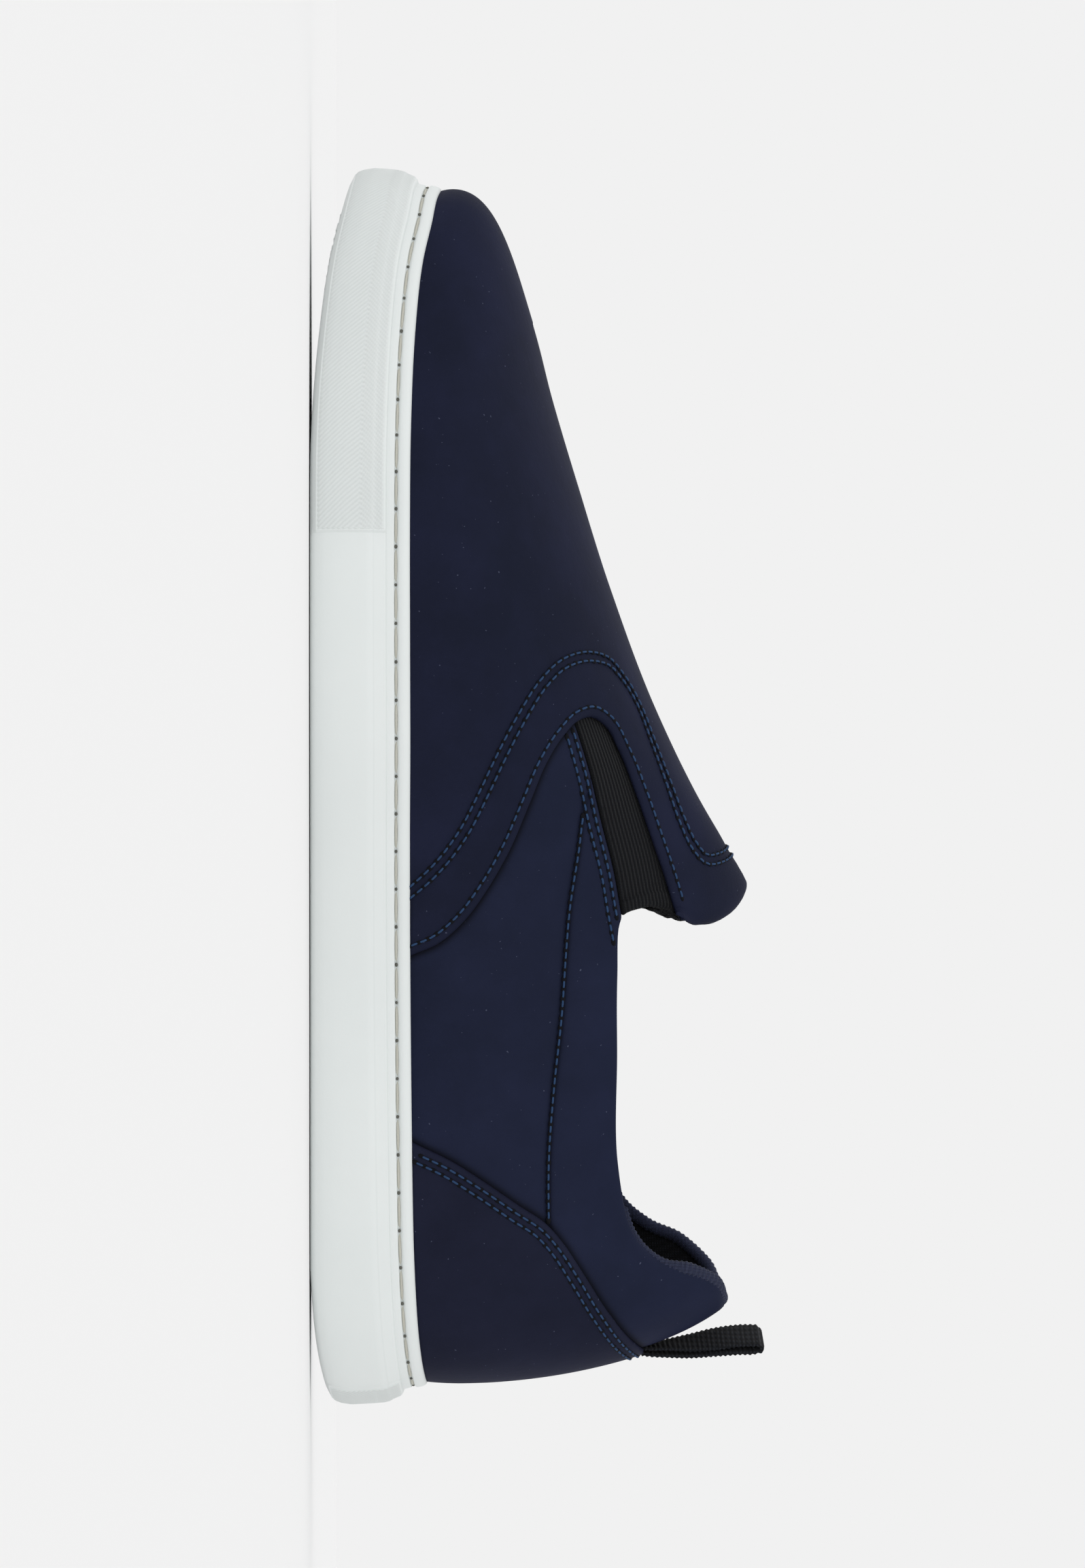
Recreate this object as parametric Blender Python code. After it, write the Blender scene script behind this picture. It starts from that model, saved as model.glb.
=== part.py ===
"""A left slip-on sneaker: cupsole, insole, hollow upper, overlays, elastic gores, pull loop and vents.

Metres, +X towards the toe, +Y towards the wearer's left (lateral), +Z up. Every piece is worked out
from the tables below, whose lengths are shares of the named sizes. "round" is the share of the way
round the shoe's edge, from the middle of the heel (0) to the middle of the toe (1).
"""

from collections import namedtuple

import bmesh
import bpy
import numpy as np
from mathutils import Matrix, Vector
from mathutils.bvhtree import BVHTree

# Main sizes of the shoe
LENGTH = 0.300
BALL_WIDTH = 0.1096
INSTEP_HEIGHT = 0.1058
HEEL_HEIGHT = 0.1024

# Cupsole
SIDE_HEIGHT = 0.0235
TOE_SPRING = 0.0095
FLOOR_THICKNESS = 0.009
LIP_WIDTH = 0.0014
TOE_BAND_STEP = 0.0005
TOE_BAND_FROM = 0.667
HEEL_PATCH_STEP = 0.0004
HEEL_PATCH_TO = 0.066
TREAD_DEPTH = 0.0008
TREAD_RIM = 0.008
FORE_TREAD_FROM = 0.492
HEEL_TREAD_TO = 0.360
TREAD_COLUMNS = 36

# Soft pieces
WALL = 0.0020
OVERLAY = 0.0010
INSOLE_THICKNESS = 0.0045
GORE_THICKNESS = 0.0010
GORE_RECESS = 0.0006
GORE_LAP = 0.0022
ARCH_BULGE = 0.0135
ARCH_AT = 0.38
ARCH_SPREAD = 0.14
ARCH_TOP_SHARE = 0.75
ARCH_TOP_AT = 0.33
ARCH_TOP_SPREAD = 0.11
GAP = 0.0003
OVERLAY_LIFT = 0.0014
STEP_SHARE = 0.001

# How far the cutters reach past what they cut, as shares of LENGTH
CLEAR = 0.3
BEHIND_TAB = 0.04
ABOVE_TAB = 0.01
BEHIND_GORE = 0.03
AHEAD_OF_GORE = 0.012
BEHIND_HEEL = 0.1

# Where the sheets of the smaller pieces start and end, as shares of the way round the edge
VAMP_SHEET_FROM = 0.30
COUNTER_SHEET_TO = 0.28
GORE_SHEET_FROM = 0.34
GORE_SHEET_TO = 0.62

# Pull loop and vents
LOOP_WIDTH = 0.0100
LOOP_THICKNESS = 0.0010
LOOP_TURN = 22.0
VENT_RADIUS = 0.0052
VENT_HEIGHT = 0.0011
VENT_SEAT = 0.0006
VENT_UP = 0.359
VENT_SEGMENTS = 16
VENT_ALONG = {"vent_front": 0.366, "vent_rear": 0.288}
# Radius as a share of VENT_RADIUS and height as a share of VENT_HEIGHT, from the seat to the dished top
VENT_PROFILE = [(0.92, 0.0), (1.0, 0.35), (0.95, 0.85), (0.84, 1.0), (0.73, 0.85), (0.66, 0.4)]

# The sole's edge at its widest. along is a share of LENGTH, lateral and medial of BALL_WIDTH,
# rise of TOE_SPRING, lip of SIDE_HEIGHT and floor of FLOOR_THICKNESS.
SoleRow = namedtuple("SoleRow", "round along lateral medial rise lip floor")
SOLE = [
    SoleRow(0.000, 0.000, 0.014, -0.014, 0.41, 1.204, 1.45),
    SoleRow(0.038, 0.005, 0.132, 0.108, 0.38, 1.187, 1.45),
    SoleRow(0.072, 0.022, 0.232, 0.204, 0.28, 1.149, 1.45),
    SoleRow(0.115, 0.060, 0.321, 0.293, 0.12, 1.094, 1.45),
    SoleRow(0.164, 0.116, 0.371, 0.337, 0.00, 1.051, 1.45),
    SoleRow(0.236, 0.199, 0.391, 0.337, 0.00, 1.026, 1.45),
    SoleRow(0.307, 0.282, 0.394, 0.318, 0.00, 1.013, 1.40),
    SoleRow(0.378, 0.365, 0.408, 0.307, 0.00, 1.004, 1.30),
    SoleRow(0.450, 0.448, 0.441, 0.321, 0.00, 1.000, 1.20),
    SoleRow(0.523, 0.531, 0.486, 0.386, 0.00, 1.000, 1.10),
    SoleRow(0.596, 0.614, 0.511, 0.465, 0.00, 0.996, 1.00),
    SoleRow(0.667, 0.697, 0.497, 0.503, 0.00, 0.996, 1.00),
    SoleRow(0.738, 0.780, 0.449, 0.502, 0.03, 1.009, 1.00),
    SoleRow(0.812, 0.863, 0.364, 0.458, 0.23, 1.060, 0.95),
    SoleRow(0.864, 0.919, 0.289, 0.401, 0.46, 1.136, 0.90),
    SoleRow(0.908, 0.960, 0.203, 0.324, 0.73, 1.243, 0.88),
    SoleRow(0.941, 0.985, 0.121, 0.244, 0.90, 1.300, 0.88),
    SoleRow(0.970, 0.997, 0.032, 0.160, 0.98, 1.345, 0.88),
    SoleRow(1.000, 1.000, -0.066, 0.066, 1.00, 1.357, 0.88),
]

# The steps of the sole's side, from the ground up. up is measured from the bottom edge and down from
# the lip; inset is how far the step stands in from the widest edge, on the sides and at the ends.
SideStep = namedtuple("SideStep", "up down inset end_inset banded")
SIDE = [
    SideStep(0.0000, None, 0.0018, 0.0030, False),
    SideStep(0.0012, None, 0.0008, 0.0014, True),
    SideStep(0.0035, None, 0.0002, 0.0004, True),
    SideStep(0.0070, None, 0.0000, 0.0000, True),
    SideStep(None, 0.0088, 0.0003, 0.0008, True),
    SideStep(None, 0.0083, 0.0006, 0.0011, True),
    SideStep(None, 0.0058, 0.0009, 0.0024, True),
    SideStep(None, 0.0055, 0.0015, 0.0030, False),
    SideStep(None, 0.0038, 0.0017, 0.0034, False),
    SideStep(None, 0.0033, 0.0026, 0.0043, False),
    SideStep(None, 0.0028, 0.0017, 0.0034, False),
    SideStep(None, 0.0008, 0.0019, 0.0038, False),
    SideStep(None, 0.0000, 0.0026, 0.0046, False),
]

# Sections of the upper, each from the sole's lip to the collar, the tab's edge or the ridge. along is a
# share of LENGTH, half and centre of BALL_WIDTH and top of the height named in the row. The lower
# handle rises by a share of the section's height and stands out by a share of BALL_WIDTH; the upper one
# reaches out by a share of the section's depth and drops by a share of its height. split is the number
# of columns up to the next row. ahead is how much further forward the collar lies on the medial side.
Section = namedtuple("Section", "round along half top height centre rise out reach drop split ahead")
SECTIONS = [
    Section(0.000, 0.079, 0.000, 1.000, "heel", 0.014, 0.29, 0.022, 0.76, 0.20, 2, 0.0),
    Section(0.040, 0.084, 0.073, 0.994, "heel", 0.015, 0.29, 0.022, 0.74, 0.21, 2, 0.0),
    Section(0.080, 0.100, 0.137, 0.969, "heel", 0.017, 0.30, 0.024, 0.64, 0.24, 2, 0.006),
    Section(0.115, 0.113, 0.178, 0.898, "heel", 0.020, 0.31, 0.027, 0.52, 0.28, 2, 0.015),
    Section(0.150, 0.121, 0.201, 0.818, "heel", 0.023, 0.33, 0.027, 0.50, 0.30, 2, 0.020),
    Section(0.190, 0.143, 0.228, 0.758, "heel", 0.026, 0.33, 0.026, 0.45, 0.30, 2, 0.016),
    Section(0.245, 0.200, 0.261, 0.719, "heel", 0.030, 0.33, 0.024, 0.42, 0.30, 2, 0.006),
    Section(0.315, 0.287, 0.281, 0.716, "heel", 0.032, 0.33, 0.022, 0.50, 0.30, 2, 0.0),
    Section(0.370, 0.350, 0.279, 0.717, "heel", 0.028, 0.34, 0.016, 0.50, 0.31, 2, 0.0),
    Section(0.398, 0.389, 0.276, 0.699, "instep", 0.025, 0.37, 0.014, 0.45, 0.30, 2, 0.0),
    Section(0.424, 0.396, 0.252, 0.789, "instep", 0.021, 0.39, 0.014, 0.42, 0.27, 2, 0.0),
    Section(0.446, 0.3945, 0.212, 0.860, "instep", 0.017, 0.41, 0.014, 0.45, 0.22, 2, 0.0),
    Section(0.466, 0.393, 0.163, 0.920, "instep", 0.013, 0.42, 0.014, 0.48, 0.17, 2, 0.0),
    Section(0.484, 0.401, 0.092, 0.972, "instep", 0.009, 0.43, 0.014, 0.52, 0.12, 2, 0.0),
    Section(0.500, 0.415, 0.000, 1.000, "instep", 0.004, 0.43, 0.014, 0.56, 0.10, 2, 0.0),
    Section(0.545, 0.475, 0.000, 0.898, "instep", -0.014, 0.43, 0.014, 0.57, 0.09, 2, 0.0),
    Section(0.600, 0.558, 0.000, 0.785, "instep", -0.023, 0.43, 0.014, 0.57, 0.085, 2, 0.0),
    Section(0.667, 0.653, 0.000, 0.683, "instep", -0.032, 0.44, 0.014, 0.57, 0.063, 2, 0.0),
    Section(0.738, 0.740, 0.000, 0.606, "instep", -0.041, 0.45, 0.017, 0.57, 0.064, 2, 0.0),
    Section(0.812, 0.810, 0.000, 0.547, "instep", -0.050, 0.48, 0.020, 0.56, 0.088, 3, 0.0),
    Section(0.880, 0.850, 0.000, 0.519, "instep", -0.056, 0.50, 0.024, 0.60, 0.15, 3, 0.0),
    Section(0.940, 0.870, 0.000, 0.504, "instep", -0.060, 0.50, 0.027, 0.68, 0.27, 3, 0.0),
    Section(1.000, 0.877, 0.000, 0.500, "instep", -0.062, 0.48, 0.029, 0.70, 0.31, 3, 0.0),
]
TAB_TIP = 14
CLIMB = [0.0, 0.13, 0.27, 0.42, 0.57, 0.72, 0.87, 1.0]

# Edges of the panels in side view: along is a share of LENGTH, up a share of INSTEP_HEIGHT.
EdgePoint = namedtuple("EdgePoint", "along up")
VAMP_FOOT = [EdgePoint(0.355, 0.15), EdgePoint(0.374, 0.285), EdgePoint(0.419, 0.397)]
VAMP_FOOT += [EdgePoint(0.486, 0.489), EdgePoint(0.538, 0.564), EdgePoint(0.553, 0.627)]
VAMP_BACK = [EdgePoint(0.547, 0.656), EdgePoint(0.525, 0.693), EdgePoint(0.458, 0.765)]
VAMP_BACK += [EdgePoint(0.403, 0.818)]
GORE_FRONT = EdgePoint(0.544, 0.598)
GORE_REAR = [EdgePoint(0.510, 0.628), EdgePoint(0.433, 0.679), EdgePoint(0.372, 0.703)]
COUNTER = [EdgePoint(0.226, 0.15), EdgePoint(0.203, 0.314), EdgePoint(0.167, 0.466)]
COUNTER += [EdgePoint(0.136, 0.567), EdgePoint(0.115, 0.608), EdgePoint(0.083, 0.665)]
COUNTER += [EdgePoint(0.058, 0.718), EdgePoint(0.030, 0.785)]

# Middle line of the pull loop's ribbon: along is a share of LENGTH, up of HEEL_HEIGHT, and turn of
# LOOP_TURN. It goes up behind and comes down in front, next to the collar.
LoopPoint = namedtuple("LoopPoint", "along up turn")
PULL_LOOP = [
    LoopPoint(0.0365, 0.812, 0.0),
    LoopPoint(0.0375, 0.850, 0.2),
    LoopPoint(0.0395, 0.900, 0.6),
    LoopPoint(0.0425, 0.960, 1.0),
    LoopPoint(0.0438, 1.020, 1.0),
    LoopPoint(0.0443, 1.055, 1.0),
    LoopPoint(0.0465, 1.074, 1.0),
    LoopPoint(0.0493, 1.068, 1.0),
    LoopPoint(0.0503, 1.045, 1.0),
    LoopPoint(0.0498, 1.010, 1.0),
    LoopPoint(0.0477, 0.965, 1.0),
    LoopPoint(0.0447, 0.905, 0.6),
    LoopPoint(0.0430, 0.850, 0.2),
    LoopPoint(0.0412, 0.812, 0.0),
]
LOOP_STEPS = 2

COLOURS = {
    "cupsole": (0.72, 0.77, 0.76),
    "insole": (0.03, 0.03, 0.035),
    "upper": (0.018, 0.020, 0.045),
    "vamp": (0.014, 0.017, 0.038),
    "heel_counter": (0.014, 0.017, 0.038),
    "gore_lateral": (0.009, 0.010, 0.012),
    "gore_medial": (0.009, 0.010, 0.012),
    "pull_loop": (0.012, 0.013, 0.020),
    "vent_front": (0.05, 0.055, 0.07),
    "vent_rear": (0.05, 0.055, 0.07),
}


def smooth(knots, values, before, after, at):
    """The smooth curve through values at knots, with one more value taken before and after them."""
    knots = np.concatenate([[2 * knots[0] - knots[1]], knots, [2 * knots[-1] - knots[-2]]])
    values = np.concatenate([[before], values, [after]])
    steps = np.diff(knots)
    slopes = np.diff(values) / steps
    tangents = (slopes[:-1] * steps[1:] + slopes[1:] * steps[:-1]) / (steps[:-1] + steps[1:])
    inner = knots[1:-1]
    span = np.clip(np.searchsorted(inner, at, side="right") - 1, 0, len(inner) - 2)
    width = inner[span + 1] - inner[span]
    t = (np.asarray(at) - inner[span]) / width
    left = values[1:-1][span]
    right = values[1:-1][span + 1]
    return (
        (2 * t**3 - 3 * t**2 + 1) * left
        + (t**3 - 2 * t**2 + t) * width * tangents[span]
        + (3 * t**2 - 2 * t**3) * right
        + (t**3 - t**2) * width * tangents[span + 1]
    )


def column(rows, name):
    return np.array([getattr(row, name) for row in rows], float)


def level(rows, name, at):
    """A column that both sides of the shoe share, so that it runs level across the heel and the toe."""
    values = column(rows, name)
    return smooth(column(rows, "round"), values, values[1], values[-2], at)


def ring(lateral, medial):
    """One closed ring: the lateral side from heel to toe, then the medial side back to the heel."""
    return np.concatenate([lateral, medial[-2:0:-1]])


def stations():
    """The places round the edge where every piece has a column of points."""
    places = []
    for row, following in zip(SECTIONS, SECTIONS[1:]):
        places += list(np.linspace(row.round, following.round, row.split, endpoint=False))
    for place in (TOE_BAND_FROM, HEEL_PATCH_TO):
        places = [other for other in places if abs(other - place) > 3 * STEP_SHARE]
        places += [place - STEP_SHARE, place + STEP_SHARE]
    return np.array(sorted(places) + [1.0])


def edge(at):
    """The sole's widest edge as a ring, and the outward direction at each of its points."""
    knots = column(SOLE, "round")
    sides = {}
    for name, other in (("lateral", "medial"), ("medial", "lateral")):
        half = column(SOLE, name)
        far = column(SOLE, other)
        sides[name] = smooth(knots, half, -far[1], -far[-2], at) * BALL_WIDTH
    along = level(SOLE, "along", at) * LENGTH
    points = np.stack([ring(along, along), ring(sides["lateral"], -sides["medial"])], axis=1)
    forward = np.roll(points, -1, axis=0) - points
    forward /= np.linalg.norm(forward, axis=1)[:, None]
    tangent = forward + np.roll(forward, 1, axis=0)
    outward = np.stack([-tangent[:, 1], tangent[:, 0]], axis=1)
    return points, outward / np.linalg.norm(outward, axis=1)[:, None]


def heights(at):
    """Rings of the bottom's height, the lip's height and the cup floor's height."""
    bottom = np.maximum(level(SOLE, "rise", at), 0) * TOE_SPRING
    lip = level(SOLE, "lip", at) * SIDE_HEIGHT
    floor = bottom + level(SOLE, "floor", at) * FLOOR_THICKNESS
    return ring(bottom, bottom), ring(lip, lip), ring(floor, floor)


def inset_ring(at, inset, end_inset, z):
    points, outward = edge(at)
    end = np.abs(outward[:, 0]) ** 1.5
    depth = inset * (1 - end) + end_inset * end
    return np.column_stack([points - outward * depth[:, None], z])


def cup_inside(at, clearance, z):
    """A ring that stays clear of the cup's inner wall."""
    top = SIDE[-1]
    inner = LIP_WIDTH + clearance
    return inset_ring(at, top.inset + inner, top.end_inset + inner, z)


def mesh_object(name, points, faces):
    mesh = bpy.data.meshes.new(name)
    mesh.from_pydata([tuple(point) for point in points], [], faces)
    mesh.update()
    piece = bpy.data.objects.new(name, mesh)
    bpy.context.scene.collection.objects.link(piece)
    piece.parent = bpy.data.objects["shoe"]
    return piece


def face_outwards(piece):
    shape = bmesh.new()
    shape.from_mesh(piece.data)
    bmesh.ops.recalc_face_normals(shape, faces=shape.faces)
    shape.to_mesh(piece.data)
    shape.free()


def ladder(count, start):
    """Faces that close a ring of 2 * (count - 1) points with strips from side to side."""
    total = 2 * (count - 1)
    faces = []
    for k in range(count - 1):
        corners = [k, k + 1, total - k - 1, (total - k) % total]
        faces.append([start + corner for corner in dict.fromkeys(corners)])
    return faces


def stacked(name, rings):
    """A closed piece from rings of points, with ladders over the first and the last one."""
    total = len(rings[0])
    faces = ladder(total // 2 + 1, 0) + ladder(total // 2 + 1, total * (len(rings) - 1))
    for level_index in range(len(rings) - 1):
        base = total * level_index
        for k in range(total):
            following = (k + 1) % total
            faces.append([base + k, base + following, base + total + following, base + total + k])
    piece = mesh_object(name, np.concatenate(rings), faces)
    face_outwards(piece)
    return piece


def as_helper(piece):
    piece.hide_render = True
    piece.display_type = "WIRE"
    return piece


def cut(piece, cutter, operation="DIFFERENCE"):
    modifier = piece.modifiers.new(operation.title() + " " + cutter.name, "BOOLEAN")
    modifier.operation = operation
    modifier.solver = "EXACT"
    modifier.object = cutter


def thicken(piece, thickness, outwards):
    modifier = piece.modifiers.new("Wall", "SOLIDIFY")
    modifier.thickness = thickness
    modifier.offset = 1 if outwards else -1


def make_cupsole(at):
    bottom, lip, floor = heights(at)
    banded = ring(at, at)
    raised = np.where(banded > TOE_BAND_FROM, TOE_BAND_STEP, 0.0)
    raised = np.where(banded < HEEL_PATCH_TO, HEEL_PATCH_STEP, raised)
    outward = edge(at)[1]
    rings = []
    for step in SIDE:
        z = bottom + step.up if step.down is None else lip - step.down
        row = inset_ring(at, step.inset, step.end_inset, z)
        if step.banded:
            row[:, :2] += outward * raised[:, None]
        rings.append(row)
    rings.append(cup_inside(at, 0.0, lip))
    rings.append(cup_inside(at, 0.0, floor))
    return stacked("cupsole", rings)


def make_tread_cutter(name, first, last):
    """A slab under the sole whose top follows the bottom, set in from the sole's edge by the rim."""
    at = np.unique(np.concatenate([np.linspace(0, 1, TREAD_COLUMNS), [first, last]]))
    inset = SIDE[0].inset + TREAD_RIM
    around = ring(at, at)
    outline = inset_ring(at, inset, inset, heights(at)[0])
    outline = outline[(around >= first) & (around <= last)]
    depth = np.array([0, 0, TREAD_DEPTH])
    points = np.concatenate([outline + depth, outline * (1, 1, 0) - depth])
    total = len(outline)
    faces = [list(range(total)), list(range(total, 2 * total))]
    for k in range(total):
        following = (k + 1) % total
        faces.append([k, following, total + following, total + k])
    cutter = mesh_object(name, points, faces)
    face_outwards(cutter)
    return as_helper(cutter)


def upper_grid(at):
    """Points of the upper's outer surface, rows from the cup floor up, and the outward normals."""
    bottom, lip, floor = heights(at)
    foot = cup_inside(at, GAP, lip)
    outward = np.column_stack([edge(at)[1], np.zeros(len(foot))])
    named = {"heel": HEEL_HEIGHT, "instep": INSTEP_HEIGHT}
    knots = column(SECTIONS, "round")
    tops = column(SECTIONS, "top") * np.array([named[row.height] for row in SECTIONS])
    opening = slice(0, TAB_TIP + 1)
    ridge = slice(TAB_TIP, None)

    def top_of(values, sign):
        ends = sign * values[1], sign * values[TAB_TIP - 1]
        over = smooth(knots[opening], values[opening], *ends, at)
        after = smooth(knots[ridge], values[ridge], values[TAB_TIP], values[-2], at)
        return np.where(at <= knots[TAB_TIP], over, after)

    along = top_of(column(SECTIONS, "along") * LENGTH, 1)
    medial_along = along + top_of(column(SECTIONS, "ahead") * LENGTH, 1)
    half = np.where(at < knots[TAB_TIP], top_of(column(SECTIONS, "half") * BALL_WIDTH, -1), 0.0)
    half[0] = 0.0
    height = top_of(tops, 1)
    centre = level(SECTIONS, "centre", at) * BALL_WIDTH
    top = np.column_stack(
        [ring(along, medial_along), ring(centre + half, centre - half), ring(height, height)]
    )

    handles = ("rise", "out", "reach", "drop")
    shares = {name: ring(*[level(SECTIONS, name, at)] * 2) for name in handles}
    medial = np.concatenate([np.zeros(len(at)), np.ones(len(foot) - len(at))])
    around = ring(at, at)
    bulge = medial * ARCH_BULGE * np.exp(-(((around - ARCH_AT) / ARCH_SPREAD) ** 2))
    high = medial * ARCH_BULGE * ARCH_TOP_SHARE
    high *= np.exp(-(((around - ARCH_TOP_AT) / ARCH_TOP_SPREAD) ** 2))
    tall = top[:, 2] - foot[:, 2]
    lower = foot + outward * (shares["out"] * BALL_WIDTH + bulge)[:, None]
    lower[:, 2] += shares["rise"] * tall
    upper = top + (foot - top) * shares["reach"][:, None] + outward * high[:, None]
    upper[:, 2] = top[:, 2] - shares["drop"] * tall

    buried = foot.copy()
    buried[:, 2] = floor + GAP
    rows = [buried]
    for t in CLIMB:
        near_foot = (1 - t) ** 3 * foot + 3 * (1 - t) ** 2 * t * lower
        rows.append(near_foot + 3 * (1 - t) * t**2 * upper + t**3 * top)
    grid = np.array(rows)

    across = np.roll(grid, -1, axis=1) - np.roll(grid, 1, axis=1)
    climb = np.gradient(grid, axis=0)
    # At the toe both neighbours on the ridge are one point, so the normal there comes from its sides.
    toe = len(at) - 1
    across[-1, toe] = across[-2, toe]
    normals = np.cross(climb, across)
    normals /= np.linalg.norm(normals, axis=2)[:, :, None]
    total = grid.shape[1]
    for k in range(len(at)):
        if at[k] >= knots[TAB_TIP]:
            mean = normals[-1, k] + normals[-1, (total - k) % total]
            normals[-1, k] = normals[-1, (total - k) % total] = mean / np.linalg.norm(mean)
    return grid, normals


def sheet(name, at, columns, first_row, offset):
    """Part of the upper's surface as an open sheet, moved out by offset."""
    grid, normals = upper_grid(at)
    total = grid.shape[1]
    last = grid.shape[0] - 1
    ridge_from = SECTIONS[TAB_TIP].round
    points = []
    index = {}

    def point(row, place):
        place %= total
        station = min(place, total - place)
        if row == last and place > len(at) - 1 and at[station] >= ridge_from:
            place = station
        if (row, place) not in index:
            index[row, place] = len(points)
            moved = grid[row, place] + normals[row, place] * offset
            if row == 1 and first_row == 1:
                climb = grid[2, place] + normals[2, place] * offset - moved
                moved = moved + climb * OVERLAY_LIFT / np.linalg.norm(climb)
            points.append(moved)
        return index[row, place]

    faces = []
    for place, following in zip(columns, columns[1:]):
        for row in range(first_row, last):
            near, far = point(row, place), point(row, following)
            near_above, far_above = point(row + 1, place), point(row + 1, following)
            faces += [[near, near_above, far_above], [near, far_above, far]]
    return mesh_object(name, points, faces)


def curve(points, steps=3):
    """Side-view places in metres on the smooth line through chosen points."""
    places = np.array([(p.along * LENGTH, p.up * INSTEP_HEIGHT) for p in points])
    knots = np.concatenate([[0], np.cumsum(np.linalg.norm(np.diff(places, axis=0), axis=1))])
    at = []
    for start, end in zip(knots, knots[1:]):
        at += list(np.linspace(start, end, steps, endpoint=False))
    at = np.array(at + [knots[-1]])
    ends = 2 * places[0] - places[1], 2 * places[-1] - places[-2]
    return np.column_stack(
        [smooth(knots, places[:, axis], ends[0][axis], ends[1][axis], at) for axis in (0, 1)]
    )


def prism(name, outline, near=-BALL_WIDTH, far=BALL_WIDTH):
    """A cutter: a side-view outline, drawn out across the shoe."""
    total = len(outline)
    points = [(x, near, z) for x, z in outline] + [(x, far, z) for x, z in outline]
    faces = [list(range(total)), list(range(total, 2 * total))]
    for k in range(total):
        following = (k + 1) % total
        faces.append([k, following, total + following, total + k])
    cutter = mesh_object(name, points, faces)
    face_outwards(cutter)
    return as_helper(cutter)


def beside(line, distance):
    """The line moved sideways, to the left of its direction."""
    tangent = np.gradient(line, axis=0)
    tangent /= np.linalg.norm(tangent, axis=1)[:, None]
    return line + np.column_stack([-tangent[:, 1], tangent[:, 0]]) * distance


def vamp_outline():
    """Everything in front of and above the vamp's rear edge."""
    back = curve(VAMP_FOOT + VAMP_BACK)
    clear = CLEAR * LENGTH
    behind_tab = back[-1][0] - BEHIND_TAB * LENGTH
    corners = [
        (behind_tab, back[-1][1] + ABOVE_TAB * LENGTH),
        (behind_tab, INSTEP_HEIGHT + clear),
        (LENGTH + clear, INSTEP_HEIGHT + clear),
        (LENGTH + clear, 0.0),
        (back[0][0], 0.0),
    ]
    return np.concatenate([back, corners])


def gore_outline(shrink):
    """The V between the vamp and the quarter, open at the collar. It runs under the vamp by the lap."""
    front = curve([GORE_FRONT] + VAMP_BACK)
    rear = curve([GORE_FRONT] + GORE_REAR)
    front = beside(front, -GORE_LAP)
    tip = rear[0] + (AHEAD_OF_GORE * LENGTH, 0.0)
    behind = rear[-1][0] - BEHIND_GORE * LENGTH
    corners = [(behind, front[-1][1]), (behind, rear[-1][1])]
    outline = np.concatenate([[tip], front[1:], corners, rear[::-1][:-1]])
    if not shrink:
        return outline
    before = np.roll(outline, 1, axis=0)
    after = np.roll(outline, -1, axis=0)
    inwards = []
    for start, corner, end in zip(before, outline, after):
        first = (corner - start) / np.linalg.norm(corner - start)
        second = (end - corner) / np.linalg.norm(end - corner)
        normals = np.array([[-first[1], first[0]], [-second[1], second[0]]])
        mean = normals.sum(axis=0)
        inwards.append(mean / max(mean @ mean / 2, 0.5))
    return outline + np.array(inwards) * shrink


def make_upper(at):
    total = 2 * (len(at) - 1)
    piece = sheet("upper", at, list(range(total + 1)), 0, 0.0)
    thicken(piece, WALL, outwards=False)
    cut(piece, prism("gore slot cutter", gore_outline(0.0)))
    return piece


def make_overlay(name, at, columns, outline):
    piece = sheet(name, at, columns, 1, GAP)
    thicken(piece, OVERLAY, outwards=True)
    cut(piece, prism(name + " cutter", outline), "INTERSECT")
    return piece


def make_vamp(at):
    total = 2 * (len(at) - 1)
    first = int(np.searchsorted(at, VAMP_SHEET_FROM))
    return make_overlay("vamp", at, list(range(first, total - first + 1)), vamp_outline())


def make_heel_counter(at):
    last = int(np.searchsorted(at, COUNTER_SHEET_TO))
    line = curve(COUNTER)
    behind = -BEHIND_HEEL * LENGTH
    outline = np.concatenate([line, [(behind, line[-1][1]), (behind, 0.0), (line[0][0], 0.0)]])
    return make_overlay("heel_counter", at, list(range(-last, last + 1)), outline)


def make_gore(name, at, medial):
    total = 2 * (len(at) - 1)
    first = int(np.searchsorted(at, GORE_SHEET_FROM))
    last = int(np.searchsorted(at, GORE_SHEET_TO))
    places = range(total - last, total - first + 1) if medial else range(first, last + 1)
    piece = sheet(name, at, list(places), 2, -GORE_RECESS)
    thicken(piece, GORE_THICKNESS, outwards=False)
    cut(piece, prism(name + " cutter", gore_outline(GAP)), "INTERSECT")
    return piece


def make_insole(at):
    floor = heights(at)[2]
    clearance = GAP + WALL + GAP * 2
    under = cup_inside(at, clearance, floor + GAP)
    over = cup_inside(at, clearance, floor + GAP + INSOLE_THICKNESS)
    return stacked("insole", [under, over])


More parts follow.
